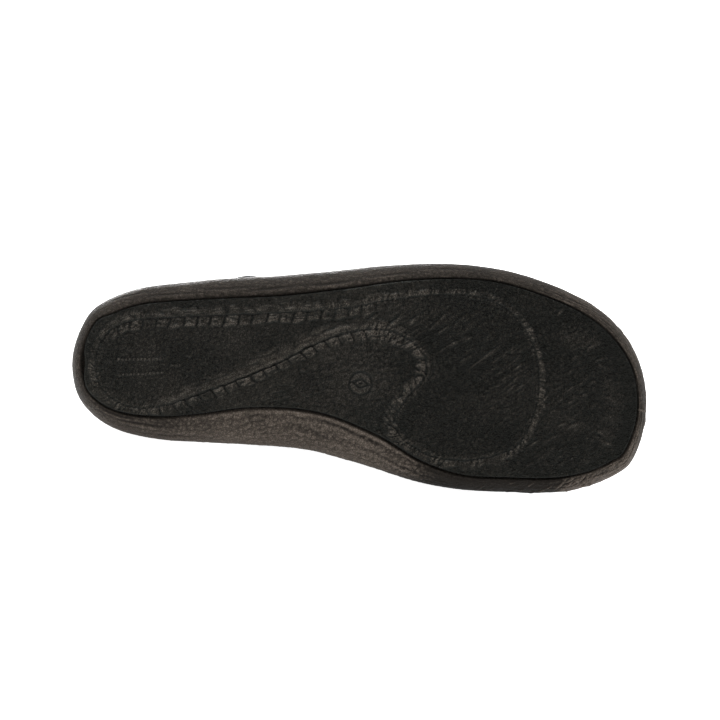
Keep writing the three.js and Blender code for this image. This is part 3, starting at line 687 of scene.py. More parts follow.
# Uneven puffs on one side of the seam with cuts between them, and slanted strips on its other side. `side`
# is the distance to the puffs' side, and they stand highest at the share `lipAt` of their length.
def crossStitches(walked, side, length, strength, lipAt):
    given = seam["stitches"]
    count = round(length / given["pitch"])
    place, onLine = pairs(walked, side), pairs(walked, 0)
    wobble = lumps(place, given["wobbleSize"])
    turn = walked / length * count + given["wobble"] * wobble
    turn = turn + given["shift"] * lumps(onLine, given["shiftSize"])
    leaning = turn + given["lean"] * side
    share = np.mod(leaning, 1)
    reach = given["length"] * uneven(onLine, *given["lengthUneven"])
    there = side / reach
    ripples = cells(place, given["rippleSize"], given["rippleBend"] * wobble[:, None])
    lip = bell(there - lipAt - given["lipBend"] * wobble, given["lipWidth"])
    each = uneven(pairs(np.floor(leaning) * given["puffApart"], 0), *given["puffUneven"])
    each = each * mix(*given["puffAlong"], share)
    alongPower, acrossPower = given["puffPowers"]
    rise = given["plain"] + given["ripple"] * ripples
    puffs = flatTop(share, alongPower) * each * (flatTop(there, acrossPower) * rise + given["lip"] * lip)
    cut = bell(np.minimum(share, 1 - share) * given["pitch"], given["cutWidth"])
    cut *= between(there, *given["cutBetween"])
    cut *= uneven(onLine, *given["cutUneven"])
    slant = turn + given["slantFrom"] + given["slantLean"] * side + given["slantBend"] * wobble
    slanted = np.abs(np.sin(np.pi * slant)) ** given["slantPower"]
    strips = cells(place, given["stripSize"], given["stripBend"] * wobble[:, None])
    beyond = given["slant"] * slanted + given["strip"] * strips
    beyond *= flatTop(-side / reach, given["beyondPower"])
    beyond *= uneven(place, *given["stripUneven"])
    valley = given["valley"] * bell(side, given["valleyWidth"])
    return strength * (given["puff"] * (puffs + beyond) - given["cut"] * cut - valley)


def seamStep(walked, inside, strength):          # a bulge with lengthwise wrinkles and a sharp edge
    given = seam["edge"]
    bend = lumps(pairs(walked, inside * 2), given["bendSize"])
    bulge = bell(np.maximum(inside, 0), given["reach"]) * smoothStep(inside, *given["rise"])
    wrinkles = cells(pairs(walked, inside), given["wrinkleSize"], pairs(0, given["wrinkleBend"] * bend))
    wrinkles *= between(inside, *given["wrinkleBetween"])
    relief = given["bulge"] * bulge * (given["level"] + given["spread"] * bend)
    relief = relief + given["wrinkle"] * wrinkles
    ragged = given["ragged"] * lumps(pairs(walked, 0), given["raggedSize"])
    cutAway = inside + (given["cutAt"] + given["cutBend"] * bend + ragged)
    return strength * (relief - given["cut"] * bell(cutAway, given["cutWidth"]))


def crinkles(walked, inside, reach, strength):   # fine puckers across the seam, with a crease inside it
    given = seam["crinkles"]
    place = pairs(walked, inside)
    bend = lumps(place, given["bendSize"])
    reach = reach * uneven(place, *given["reachUneven"])
    slant = pairs(walked / given["pitch"] + given["lean"] * inside + given["pitchBend"] * bend, inside)
    long = cells(slant, given["longSize"], pairs(0, given["longBend"] * bend))
    short = cells(slant, given["shortSize"], given["shortShift"])
    fade = (edge * reach for edge in given["fade"])
    window = 1 - smoothStep(np.abs(inside + given["middle"] * reach), *fade)
    puckers = given["height"] * uneven(place, *given["heightUneven"])
    puckers *= long + given["shortShare"] * short - given["mean"]
    crease = bell(inside - given["creaseAt"] - given["creaseBend"] * bend, given["creaseWidth"])
    return strength * (window * (given["ridge"] + puckers) - given["crease"] * crease)


def seamRelief(places):
    walked, inside, row, length = seamPlaces(places)
    given = tableColumns(seam)
    stitch, crinkle, reach, step = (
        np.interp(row, np.arange(len(given[name]) + 1), np.append(given[name], given[name][0]))
        for name in ("stitch", "crinkle", "reach", "step")
    )
    within, without = seam["stitches"]["lipAt"]
    relief = crossStitches(walked, inside, length, np.maximum(stitch, 0), within)
    outer = crossStitches(walked, -inside, length, np.maximum(-stitch, 0), without)
    relief += outer * (1 - seam["stitches"]["hidden"] * step * (inside > 0))
    relief += seamStep(walked, inside, step)
    relief += crinkles(walked, inside, reach, crinkle)
    return relief, inside


# Soft creases of the tread: from and to, as shares of the length and of the width there,
# then height and width in millimetres. The ball's run up to the outer side, and the toe's fan out.
creaseRows = [
    (0.477, -0.270, 0.509, -0.384, 0.56, 0.88),
    (0.420, -0.268, 0.448, -0.307, 0.41, 0.80),
    (0.440, -0.297, 0.471, -0.334, 0.41, 0.80),
    (0.531, -0.309, 0.548, -0.377, 0.59, 0.80),
    (0.559, -0.316, 0.580, -0.396, 0.60, 0.80),
    (0.602, -0.325, 0.622, -0.403, 0.34, 0.61),
    (0.613, -0.371, 0.637, -0.451, 0.26, 0.61),
    (0.619, -0.325, 0.632, -0.365, 0.34, 0.68),
    (0.639, -0.347, 0.660, -0.433, 0.30, 0.61),
    (0.648, -0.365, 0.671, -0.431, 0.24, 0.61),
    (0.637, -0.207, 0.657, -0.257, 0.21, 0.61),
    (0.631, -0.260, 0.671, -0.340, 0.30, 0.61),
    (0.663, -0.302, 0.678, -0.345, 0.23, 0.61),
    (0.658, -0.209, 0.692, -0.279, 0.31, 0.61),
    (0.692, -0.279, 0.704, -0.347, 0.28, 0.61),
    (0.690, -0.300, 0.708, -0.363, 0.21, 0.54),
    (0.683, -0.199, 0.713, -0.282, 0.30, 0.61),
    (0.713, -0.282, 0.728, -0.324, 0.24, 0.54),
    (0.714, -0.226, 0.745, -0.295, 0.28, 0.54),
    (0.745, -0.295, 0.753, -0.340, 0.26, 0.54),
    (0.735, -0.277, 0.743, -0.322, 0.23, 0.51),
    (0.745, -0.281, 0.756, -0.328, 0.24, 0.51),
    (0.753, -0.250, 0.763, -0.296, 0.30, 0.51),
    (0.756, -0.216, 0.769, -0.257, 0.34, 0.51),
    (0.756, -0.161, 0.774, -0.220, 0.30, 0.51),
    (0.766, -0.137, 0.780, -0.171, 0.34, 0.51),
    (0.751, -0.116, 0.764, -0.164, 0.21, 0.51),
    (0.769, -0.110, 0.781, -0.150, 0.23, 0.51),
    (0.804, -0.249, 0.818, -0.296, 0.44, 0.61),
    (0.831, -0.299, 0.841, -0.335, 0.38, 0.61),
    (0.851, -0.303, 0.860, -0.330, 0.24, 0.61),
    (0.832, -0.161, 0.844, -0.191, 0.30, 0.61),
    (0.856, -0.174, 0.870, -0.209, 0.40, 0.61),
    (0.871, -0.196, 0.880, -0.227, 0.36, 0.61),
    (0.890, -0.216, 0.899, -0.235, 0.32, 0.61),
    (0.876, -0.148, 0.888, -0.174, 0.34, 0.61),
    (0.815, -0.106, 0.829, -0.160, 0.42, 0.61),
    (0.833, -0.127, 0.842, -0.152, 0.30, 0.54),
    (0.815, -0.074, 0.829, -0.105, 0.44, 0.61),
    (0.857, -0.110, 0.869, -0.132, 0.22, 0.61),
    (0.830, -0.058, 0.843, -0.084, 0.22, 0.61),
    (0.849, -0.009, 0.864, -0.032, 0.26, 0.68),
    (0.865, -0.005, 0.879, -0.031, 0.34, 0.75),
    (0.833, 0.068, 0.850, 0.029, 0.30, 0.68),
    (0.805, 0.104, 0.822, 0.062, 0.36, 0.68),
    (0.877, -0.364, 0.887, -0.394, 0.38, 0.61),
    (0.891, -0.311, 0.905, -0.340, 0.38, 0.61),
    (0.816, -0.493, 0.824, -0.530, 0.36, 0.61),
    (0.799, -0.485, 0.806, -0.512, 0.24, 0.61),
    (0.802, 0.196, 0.822, 0.160, 0.23, 0.61),
    (0.824, 0.193, 0.840, 0.145, 0.26, 0.61),
    (0.846, 0.156, 0.865, 0.113, 0.23, 0.61),
    (0.858, 0.172, 0.872, 0.131, 0.23, 0.61),
    (0.914, -0.005, 0.929, 0.007, -0.58, 0.64),
]
stroke = {
    "limits": (-0.5, 1.5), "taper": 0.62,                # in lengths of the stroke
    "reach": 5, "waver": 0.25, "troughAt": 1.7,          # in its widths
    "waves": 5, "trough": 0.55,                          # radians, and a share of its height
}


def strokes(places, starts, ends, heights, widths):      # tapered ridges, each with a soft trough beside it
    relief = np.zeros(len(places))
    for start, end, height, width in zip(starts, ends, heights, widths):
        run = end - start
        length = np.linalg.norm(run)
        share = ((places - start) @ run) / length**2
        beside = ((places - start) @ np.array([-run[1], run[0]])) / length
        near = (share > stroke["limits"][0]) & (share < stroke["limits"][1])
        near &= np.abs(beside) < stroke["reach"] * width
        taper = bell(share[near] - 0.5, stroke["taper"]) ** 2
        side = beside[near] + stroke["waver"] * width * np.sin(stroke["waves"] * share[near])
        trough = stroke["trough"] * bell(side + stroke["troughAt"] * width, width)
        relief[near] += height * taper * (bell(side, width) - trough)
    return relief


def rowStrokes(places, rows, toPlace):           # strokes from rows of two ends, a height and a width
    x, y, endX, endY, heights, widths = np.array(rows, float).T
    return strokes(places, toPlace(x, y), toPlace(endX, endY), heights, widths)


tread = {
    "across": 184, "along": 470, "edge": 0.6, "overhang": 1.05, "depth": 0.4, "clearance": 0.1,
    # rings down the edge: how much of its round is left, how far down, and the share of the relief
    "edgeSteps": ((0.5, 0, 0.8), (0.2, 0.04, 0.5), (0.05, 0.18, 0.2), (0, 0.45, 0), (-0.25, 1.0, 0)),
    "heelGap": 1.6, "heelGapAt": 31.75, "heelGapRows": 0.38,
    "grainSize": 1.0, "grain": 0.2, "swellSize": 14, "swell": 0.15,
    "streakLength": 6, "streakWidth": 1.15, "streak": 0.36, "streakTurn": -42,
    "creaseUneven": (80, 3.2, 0.75, 1.1, 0.1, 1.3), "foldBase": 0.12,
    "foldPatches": [     # at, inner, reach in millimetres, strength
        (0.56, -0.33, 20, 0.8), (0.66, -0.30, 20, 0.8), (0.75, -0.27, 15, 1.0), (0.74, -0.13, 12, 0.6),
        (0.85, -0.15, 14, 0.8), (0.84, 0.12, 12, 0.6), (0.60, 0.40, 14, 0.4), (0.86, -0.36, 16, 0.5),
        (0.91, 0.10, 16, 0.5), (0.88, 0.32, 12, 0.4),
    ],
    "crackleLength": 3.2, "crackleWidth": 1.3, "crackle": 0.24, "crackleTurn": -24,
    "archBeside": (3, 8), "archBetween": (0.2, 0.3, 0.54, 0.64),
    "pleats": {          # pairs are a middle and its spread for inset and turn, and limits for the others
        "seed": 5, "count": 34, "room": (0.5, 1.2), "inset": (17.5, 2.6), "turn": (-0.16, 0.12),
        "length": 2.8, "lengths": (0.25, 0.9), "height": 0.15, "heights": (0.2, 1.3), "widths": (0.45, 0.8),
    },
    "badge": {
        "at": 0.501, "inner": -0.055, "radius": 5.6, "groove": 0.4, "grooveWidth": 0.5, "clear": (5, 7),
        "half": (4.2, 2.3), "height": -0.8, "line": 0.3, "lineAt": 0.95, "middle": (0.15, 0.45),
        "rise": 0.15, "riseEdge": (-0.8, -0.2),
    },
    "dashes": {"height": 0.24, "pitch": 1.9, "edge": (0.35, 0.8)},
    "depthShare": 0.85,
    # How the relief turns into paler colour: rubbed wear and a painted highlight where it stands out,
    # painted shade in the hollows.
    "wear": {"softSteps": 14, "fineRise": 0.85, "level": 0.05, "broadRise": 1.45},
    "foreLift": -0.08, "foreFrom": (0.5, 0.62), "scuffStretch": (1, 2.5), "scuffUneven": (0, 5, 1, 0.7),
    "look": {
        "shader": {"Specular IOR Level": 0.21, "Specular Tint": (0.95, 1.0, 0.92, 1)},
        "dark": (0.0024, 0.0023, 0.0019), "light": (0.0054, 0.0050, 0.0042), "dusty": (0.040, 0.035, 0.029),
        "rubbedAndHighlight": (0.095, 0.080, 0.066), "flecks": (0.0, 1.2), "dust": 0.25, "roughness": (0.17, 0.27),
        "grainSize": 0.95, "crease": 0.28, "patchSize": 26, "dustSize": 1.1, "bump": 0.5,
    },
}
# Soft scuffs of the tread: where, as shares of the length and of the width there, the reach
# along the slipper and across it in millimetres, and how much paler it is, or darker below zero.
scuffRows = [
    (0.915, -0.301, 3, 5, 0.11),
    (0.923, -0.217, 4, 5, 0.15),
    (0.937, -0.132, 4, 7, 0.10),
    (0.939, -0.050, 5, 5, 0.14),
    (0.936, 0.025, 4, 6, 0.17),
    (0.826, -0.399, 13, 3, 0.12),
    (0.846, -0.253, 13, 3, 0.08),
    (0.870, -0.020, 12, 4, 0.12),
    (0.884, -0.401, 4, 4, 0.08),
    (0.905, 0.130, 8, 5, 0.06),
    (0.972, -0.080, 4, 26, -0.12),
    (0.925, -0.430, 7, 9, -0.10),
    (0.940, 0.170, 8, 9, -0.10),
]
dashRows = [             # small even dashes on the heel pad: at and inner, from and to
    (0.080, 0.029, 0.160, -0.025),
    (0.086, 0.126, 0.164, 0.061),
    (0.173, 0.010, 0.190, -0.001),
]


def grained(places, size, length, turn, bend=0.35, bendSize=2.5):        # long cells that lie at that angle
    cosine, sine = math.cos(math.radians(turn)), math.sin(math.radians(turn))
    turned = pairs(places @ (cosine, sine), places @ (-sine, cosine))
    return cells(turned, (length, size), pairs(0, bend * lumps(places, bendSize * size)))


def badgeRelief(places):             # a shallow disc with a plain lozenge in it, and where it is
    badge = tread["badge"]
    away = places - onSole(badge["at"], badge["inner"])
    radius = np.linalg.norm(away, axis=1)
    lozenge = np.abs(away / badge["half"]).sum(1)
    lines = bell(lozenge - badge["lineAt"], badge["line"])
    relief = badge["height"] * (lines + 1 - smoothStep(lozenge, *badge["middle"]))
    low, high = (badge["radius"] + edge for edge in badge["riseEdge"])
    relief += badge["rise"] * (1 - smoothStep(radius, low, high))
    relief -= badge["groove"] * bell(radius - badge["radius"], badge["grooveWidth"])
    return relief, 1 - smoothStep(radius, *badge["clear"])


def dashRelief(places):
    dashes = tread["dashes"]
    relief = np.zeros(len(places))
    for at, inner, endAt, endInner in dashRows:
        start = onSole(at, inner)
        run = onSole(endAt, endInner) - start
        along = (places - start) @ unit(run)
        beside = (places - start) @ (unit(run)[::-1] * (-1, 1))
        phase = np.mod(along, dashes["pitch"]) - dashes["pitch"] / 2
        long, wide = (1 - smoothStep(np.abs(away), *dashes["edge"]) for away in (phase, beside))
        relief += dashes["height"] * long * wide * (along > 0) * (along < np.linalg.norm(run))
    return relief


def toePleats(places):               # short strokes side by side, a band inside the edge of the toe
    pleats = tread["pleats"]
    random = np.random.default_rng(pleats["seed"])
    count = pleats["count"]
    before, after = pleats["room"]
    rows = random.uniform(ringCorners["toe"] + before, 2 * toeRow - ringCorners["toe"] - after, count)
    inset, spread = pleats["inset"]
    middles = OutlineLine(rows).inset(inset + random.normal(0, spread, count), 0)[:, :2]
    run = pairs(1, random.normal(*pleats["turn"], count))
    run = run * pleats["length"] * random.uniform(*pleats["lengths"], count)[:, None]
    heights = pleats["height"] * random.uniform(*pleats["heights"], count)
    return strokes(places, middles - run, middles + run, heights, random.uniform(*pleats["widths"], count))


def treadRelief(places):             # how far the tread stands out, in millimetres
    relief, inside = seamRelief(places)
    relief += rowStrokes(places, creaseRows, onSole) * uneven(places, *tread["creaseUneven"])
    relief += toePleats(places)
    badge, onBadge = badgeRelief(places)
    at = places[:, 0] / shoe["length"]
    arch = smoothStep(-inside, *tread["archBeside"]) * between(at, *tread["archBetween"])
    crackle = grained(places, tread["crackleWidth"], tread["crackleLength"], tread["crackleTurn"])
    relief += tread["crackle"] * arch * (1 - onBadge) * crackle
    streaks = grained(places, tread["streakWidth"], tread["streakLength"], tread["streakTurn"])
    folded = tread["foldBase"]
    for patchAt, inner, reach, strength in tread["foldPatches"]:
        away = np.linalg.norm(places - onSole(patchAt, inner), axis=1)
        folded = folded + strength * bell(away, reach) ** 2
    relief += tread["streak"] * (1 - arch) * folded * streaks
    relief *= tread["depthShare"]
    relief += tread["grain"] * cells(places, tread["grainSize"])
    relief += tread["swell"] * lumps(places, tread["swellSize"])
    return relief + badge + dashRelief(places)


def treadLift(places):               # the scuffs, and a darker front
    lift = tread["foreLift"] * smoothStep(places[:, 0] / shoe["length"], *tread["foreFrom"])
    patches = uneven(places * tread["scuffStretch"], *tread["scuffUneven"])
    for at, inner, along, across, amount in scuffRows:
        away = (places - onSole(at, inner)) / (along, across)
        lift += amount * np.exp(-(away**2).sum(-1)) * patches
    return lift


def makeTread():
    rows = ringRows(tread["across"], tread["along"])
    line = OutlineLine(rows)
    fromGap = np.abs(np.mod(rows - tread["heelGapAt"] + toeRow, outlineRows) - toeRow)
    gap = tread["heelGap"] * bell(fromGap, tread["heelGapRows"])
    edge = line.flare + shoe["grooveWidth"] / 2 - tread["overhang"] + gap
    ring = line.inset(edge + tread["edge"], 0)
    flat = ringPatch(ring, tread["across"], tread["along"])[..., :2].reshape(-1, 2)
    relief = treadRelief(flat)
    top = np.column_stack([flat, treadHeight(flat[:, 0]) - relief])
    shell = Shell()
    grid = shell.add(top.reshape(tread["along"] + 1, tread["across"] + 1, 3))
    shell.weave(grid)
    rings = [patchEdge(grid)]
    edgeRelief = relief[rings[0]]
    for left, down, share in tread["edgeSteps"]:
        heights = treadHeight(line.place[:, 0]) + down - share * edgeRelief
        rings.append(shell.add(line.inset(edge + tread["edge"] * left, heights)))
    foot = line.flare + tread["clearance"] + gap
    bottom = shoe["grooveDepth"] + tread["depth"]
    rings.append(shell.add(line.inset(foot, lambda x: treadHeight(x) + bottom)))
    shell.weave(np.array(rings), closed=True)
    shell.close(rings[-1], tread["across"] // 2)
    raised = raisedShare(relief.reshape(grid.shape), tread["wear"], treadLift(flat).reshape(grid.shape))
    shell.piece("outsole_tread", "sole", [leatherLike("treadRubber", tread["look"])], ["outsole"], raised)


# The bowl: the groove's outer side, the wall with its rolled rim, and the inside.
bowl = {
    "across": 130, "along": 440, "wallSteps": 40, "rimSteps": 24,
    "footRound": 0.35, "footSteps": 1.1, "recessLean": 0.02,
    "plainRings": 3,                 # from the wall's two edges inwards, the relief sets in
    "wallRun": 17.0,                 # millimetres up the wall from the groove to its widest line
    "waistBetween": (0.12, 0.3, 0.62, 0.72), "lumpSize": 1.4, "lumpStretch": (0.7, 1, 1), "fineLumps": 0.5,
    "lump": 0.22, "waistLump": 0.5, "smoothFrom": (0.45, 0.9), "smooth": 0.55,
    "swellSize": 11, "swell": 0.15,
    "streakLength": 8, "streakWidth": 1.3, "streak": 0.7, "streakBend": 0.5, "streakBendSize": 6,
    "streakFrom": (0.72, 0.84), "streakUneven": (50, 9, 0.8, 0.6),
    "slanted": {         # random wrinkles beside the ball: limits of their starts and of how far they run
        "seed": 9, "count": 34, "at": (0.74, 0.93), "up": (0.05, 0.7),
        "back": (-5, -2), "climb": (0.15, 0.4), "height": 0.6, "heights": (0.4, 1.1), "width": 0.65,
    },
    "lipTurns": (30, 60, 90, 120, 150, 180), "insideShares": (0.75, 0.5, 0.25, 0),
    # How the relief turns into paler colour: rubbed wear and a painted highlight where it stands out,
    # painted shade in the hollows.
    "wear": {"softSteps": 8, "fineRise": 0.6, "level": 0.10, "broadRise": 1.7},
    "look": {
        "shader": {"Specular IOR Level": 0.22, "Specular Tint": (1.0, 0.90, 0.80, 1)},
        "dark": (0.0060, 0.0050, 0.0040), "light": (0.0150, 0.0122, 0.0098), "dusty": (0.080, 0.066, 0.053),
        "rubbedAndHighlight": (0.190, 0.156, 0.128), "flecks": (0.25, 1.05), "dust": 0.22, "roughness": (0.40, 0.54),
        "grainSize": 1.1, "crease": 0.30, "patchSize": 22, "dustSize": 1.0, "bump": 0.8,
    },
    # side, from, full from, to and gone in shares of the length, the lift all over, and more at the edge:
    # painted light, paler at the inner waist and the toe corners and towards the wall's widest line as a
    # painted rim highlight, and painted shade, darker beside the inner ball
    "paintedLightAndShade": [
        (1, 0.02, 0.08, 0.15, 0.28, -0.05, 0.9), (1, 0.12, 0.28, 0.52, 0.66, 0.25, 0.5),
        (1, 0.60, 0.70, 0.84, 0.90, -0.6, 0.0), (1, 0.84, 0.90, 0.98, 1.0, 0.25, 1.0),
        (-1, 0.02, 0.10, 0.90, 0.98, -0.06, 0.25), (-1, 0.78, 0.86, 0.97, 1.0, 0.1, 0.35),
    ],
    "partingAt": -15.4, "partingWidth": 0.35, "partingHeight": 0.3, "partingStep": 0.4,
    "partingFrom": 0.98,             # the line shows on the toe alone
}
# Long wrinkles of the wall: side, from and to as shares of the length, each with how far up
# the wall from the groove, 0, to the widest line, 1, then the height and the width in millimetres.
wrinkleRows = [
    (-1, 0.20, 0.35, 0.30, 0.30, -0.30, 0.9),
    (-1, 0.27, 0.22, 0.37, 0.26, -0.28, 0.8),
    (-1, 0.38, 0.24, 0.47, 0.20, -0.35, 0.9),
    (-1, 0.47, 0.30, 0.56, 0.26, -0.30, 0.8),
    (-1, 0.58, 0.45, 0.66, 0.40, -0.16, 1.0),
    (-1, 0.80, 0.25, 0.88, 0.38, -0.26, 0.9),
    (-1, 0.87, 0.50, 0.93, 0.46, -0.22, 0.8),
    (-1, 0.05, 0.55, 0.12, 0.42, -0.26, 0.8),
    (-1, 0.07, 0.80, 0.17, 0.66, -0.24, 0.8),
    (-1, 0.10, 0.30, 0.20, 0.22, -0.24, 0.8),
    (1, 0.08, 0.30, 0.20, 0.34, 0.30, 0.8),
    (1, 0.05, 0.22, 0.13, 0.16, 0.34, 0.7),
    (1, 0.14, 0.60, 0.26, 0.52, -0.26, 1.0),
    (1, 0.30, 0.05, 0.62, 0.05, 0.60, 0.7),
    (1, 0.42, 0.17, 0.58, 0.20, 0.36, 0.7),
    (1, 0.47, 0.25, 0.60, 0.30, 0.36, 0.9),
    (1, 0.50, 0.40, 0.63, 0.48, 0.30, 1.0),
    (1, 0.38, 0.30, 0.47, 0.36, -0.26, 1.0),
    (1, 0.60, 0.25, 0.72, 0.22, 0.26, 0.9),
    (1, 0.90, 0.30, 0.97, 0.40, 0.34, 0.8),
    (1, 0.87, 0.55, 0.95, 0.62, 0.30, 0.8),
]


def partingLine(places):             # the mould's line down the toe
    onToe = places[..., 0] / shoe["length"] > bowl["partingFrom"]
    return onToe * bell(places[..., 1] - bowl["partingAt"], bowl["partingWidth"])


def slantedWrinkles(spread, run):                # spread: along the slipper and up the wall, in millimetres
    slanted = bowl["slanted"]
    random = np.random.default_rng(slanted["seed"])
    count = slanted["count"]
    starts = random.uniform(*slanted["at"], count) * shoe["length"]
    starts = pairs(starts, random.uniform(*slanted["up"], count) * run)
    back = random.uniform(*slanted["back"], count)
    ends = starts + pairs(back, random.uniform(*slanted["climb"], count) * run)
    heights = slanted["height"] * random.uniform(*slanted["heights"], count)
    return strokes(spread, starts, ends, heights, [slanted["width"]] * count)


def wallRelief(line, places, climbed):           # climbed: how far up the wall each of the places is
    at = places[..., 0] / shoe["length"]
    side = np.where(line.outerSide, -1, 1)[None]
    waist = np.where(side > 0, between(at, *bowl["waistBetween"]), 0)
    grain = cells(places * bowl["lumpStretch"], bowl["lumpSize"])
    grain = grain + bowl["fineLumps"] * cells(places, bowl["lumpSize"] / 2)
    relief = mix(bowl["lump"], bowl["waistLump"], waist) * grain
    relief *= 1 - bowl["smooth"] * smoothStep(climbed, *bowl["smoothFrom"])
    relief += bowl["swell"] * lumps(places, bowl["swellSize"])
    run = bowl["wallRun"]
    walked = walkedAlong(np.vstack([line.place[-1:], line.place]))[1:]
    bend = bowl["streakBend"] * lumps(places, bowl["streakBendSize"])[..., None]
    streaks = cells(pairs(walked, climbed * run), (bowl["streakLength"], bowl["streakWidth"]), bend)
    streaks = bowl["streak"] * smoothStep(at, *bowl["streakFrom"]) * streaks
    relief += streaks * uneven(places, *bowl["streakUneven"])
    spread = pairs(places[..., 0], climbed * run).reshape(-1, 2)
    for wanted in (-1, 1):
        rows = [row[1:] for row in wrinkleRows if row[0] == wanted]
        made = rowStrokes(spread, rows, lambda x, up: pairs(x * shoe["length"], up * run))
        relief += np.where(side == wanted, made.reshape(at.shape), 0)
    relief += np.where(side > 0, slantedWrinkles(spread, run).reshape(at.shape), 0)
    return relief + bowl["partingHeight"] * partingLine(places)


def wallPaintedLight(line, places, climbed):     # painted light and shade: paler at the waist and towards the wall's edge as a painted rim highlight, darker beside the ball as painted shade, and paler along the parting line
    at = places[..., 0] / shoe["length"]
    total = partingLine(places)
    for side, start, low, high, end, lift, paintedRimLight in bowl["paintedLightAndShade"]:
        there = between(at, start, low, high, end) * (line.outerSide == (side < 0))
        # The lift is painted light and shade, and its share at the edge a painted rim highlight.
        total = total + there * (lift + paintedRimLight * np.clip(climbed, 0, 1) ** 2)
    return total


def bowlRows(samples=800, beside=3):     # closer together where the parting line crosses the toe's wall
    rows = ringRows(bowl["across"], bowl["along"])
    onToe = abs(rows - toeRow) <= 1
    away = np.abs(OutlineLine(rows).place[:, 1] - bowl["partingAt"])
    middle = int(np.argmin(np.where(onToe, away, np.inf)))
    fine = np.linspace(toeRow - 1, toeRow + 1, samples)
    wanted = bowl["partingAt"] + np.arange(-beside, beside + 1) * bowl["partingStep"]
    rows[middle - beside : middle + beside + 1] = np.interp(wanted, OutlineLine(fine).place[:, 1], fine)
    return rows


def wallRings(line):     # from the groove to the widest line, 1, and on up to the rim, 2
    half, lip = shoe["grooveWidth"] / 2, shoe["grooveDepth"] / 2
    rings, climbed = [], []
    for step in range(bowl["wallSteps"] + 1):
        share = step / bowl["wallSteps"]
        angle = share * math.pi / 2
        sunk = bowl["footRound"] * math.exp(-((step / bowl["footSteps"]) ** 2))
        rings.append(line.inset(
            (line.flare - half) * (1 - math.sin(angle)),
            lambda x: mix(treadHeight(x) + lip, widestAt(x), 1 - math.cos(angle)) + sunk,
        ))
        climbed.append(share)
    for step in range(1, bowl["rimSteps"] + 1):
        up = step / bowl["rimSteps"]
        rings.append(line.inset(
            line.lean * up**2,
            lambda x: mix(widestAt(x), rimAt(x) - shoe["rimRound"], up),
        ))
        climbed.append(1 + up)
    rings = np.array(rings)
    return rings, np.broadcast_to(np.array(climbed)[:, None], rings.shape[:2])


def innerRings(line):    # over the lip and down the inside to the floor
    lip = shoe["rimLip"]
    rings = []
    for degrees in bowl["lipTurns"]:
        angle = math.radians(degrees)
        inset = line.lean + lip * (1 - math.cos(angle)) / 2
        rings.append(line.inset(inset, lambda x: rimAt(x) + shoe["rimRound"] * (math.sin(angle) - 1)))
    x = line.place[:, 0]
    for share in bowl["insideShares"]:
        height = mix(floorAt(x), rimAt(x) - shoe["rimRound"], share)
        rings.append(line.inset(mix(shoe["bowlWall"], line.lean + lip, share), height))
    return rings


def makeBowl():
    line = OutlineLine(bowlRows())
    wall, climbed = wallRings(line)
    shell = Shell()
    numbers = shell.add(wall)
    shell.weave(numbers, closed=True)
    last = len(wall) - 1
    edges = between(np.arange(len(wall)), 0, bowl["plainRings"], last - bowl["plainRings"], last)
    relief = wallRelief(line, wall, climbed) * edges[:, None]
    shell.swell(numbers, relief, np.column_stack([line.out, np.zeros(len(line.out))]))
    depth = shoe["grooveDepth"]
    bottom = depth + tread["depth"] + tread["clearance"]
    recess = [
        shell.add(line.inset(line.flare, lambda x: treadHeight(x) + bottom)),
        shell.add(line.inset(line.flare - bowl["recessLean"], lambda x: treadHeight(x) + depth)),
    ]
    shell.weave(np.array([*recess, numbers[0]]), closed=True)
    shell.close(recess[0], bowl["across"] // 2)
    rings = [numbers[-1], *(shell.add(ring) for ring in innerRings(line))]
    shell.weave(np.array(rings), closed=True)
    shell.close(rings[-1], bowl["across"] // 2)
    raised = raisedShare(relief, bowl["wear"], wallPaintedLight(line, wall, climbed))
    shell.piece("outsole_bowl", "sole", [leatherLike("wallRubber", bowl["look"])], ["outsole"], raised)


# The upper follows the same rows as its solid: a column for each point of the outline between the collar's
# two corners, and rows from the skirt inside the bowl up to the ridge, which both sides share.
upper = {
    "collarRow": 5, "perRow": 16, "skirtSteps": 4, "domeSteps": 84, "collarBend": 0.3, "cornerReach": 0.1,
    "cornerRise": 0.2, "throatAt": 0.525, "ridgeEndAt": 0.855, "domeSpacing": 1.6, "swellSpacing": 0.8,
    "innerSwell": 4, "outerSwell": 2.6, "cornerFlare": 3,
    "waveSize": 24, "wave": 0.5, "puckerSize": 7, "pucker": 0.16, "uprightUpTo": 0.08,
    "reliefFrom": (0.05, 0.3), "collarPlain": (10, 40), "insideRelief": 0.8,
    # How the relief turns into paler colour: rubbed wear and a painted highlight where it stands out,
    # painted shade in the hollows.
    "wear": {"softSteps": 10, "fineRise": 0.5, "level": 0.12, "broadRise": 2.5},
    "look": {
        "shader": {"Specular IOR Level": 0.38, "Specular Tint": (1.0, 0.94, 0.88, 1)},
        "dark": (0.0080, 0.0066, 0.0056), "light": (0.0160, 0.0132, 0.0112), "dusty": (0.060, 0.050, 0.042),
        "rubbedAndHighlight": (0.046, 0.038, 0.032), "flecks": (0.4, 0.9), "dust": 0.2, "roughness": (0.30, 0.44),
        "grainSize": 1.3, "crease": 0.24, "patchSize": 30, "dustSize": 1.3, "bump": 0.7,
    },
}
upperTable = {           # from the collar's corner, 0, to the toe, 1
    "columns": ("at", "height", "ridge", "fullness", "swell", "sweep"),
    "rows": [
        (0.00, 1.00, -0.090, 2.7, 1.00, 1.0),
        (0.25, 0.66, -0.097, 2.5, 0.85, 0.7),
        (0.45, 0.40, -0.105, 2.3, 0.60, 0.4),
        (0.65, 0.19, -0.113, 2.2, 0.40, 0.1),
        (0.85, 0.05, -0.120, 2.3, 0.15, 0.0),
        (1.00, 0.00, -0.125, 2.4, 0.00, 0.0),
    ],
}
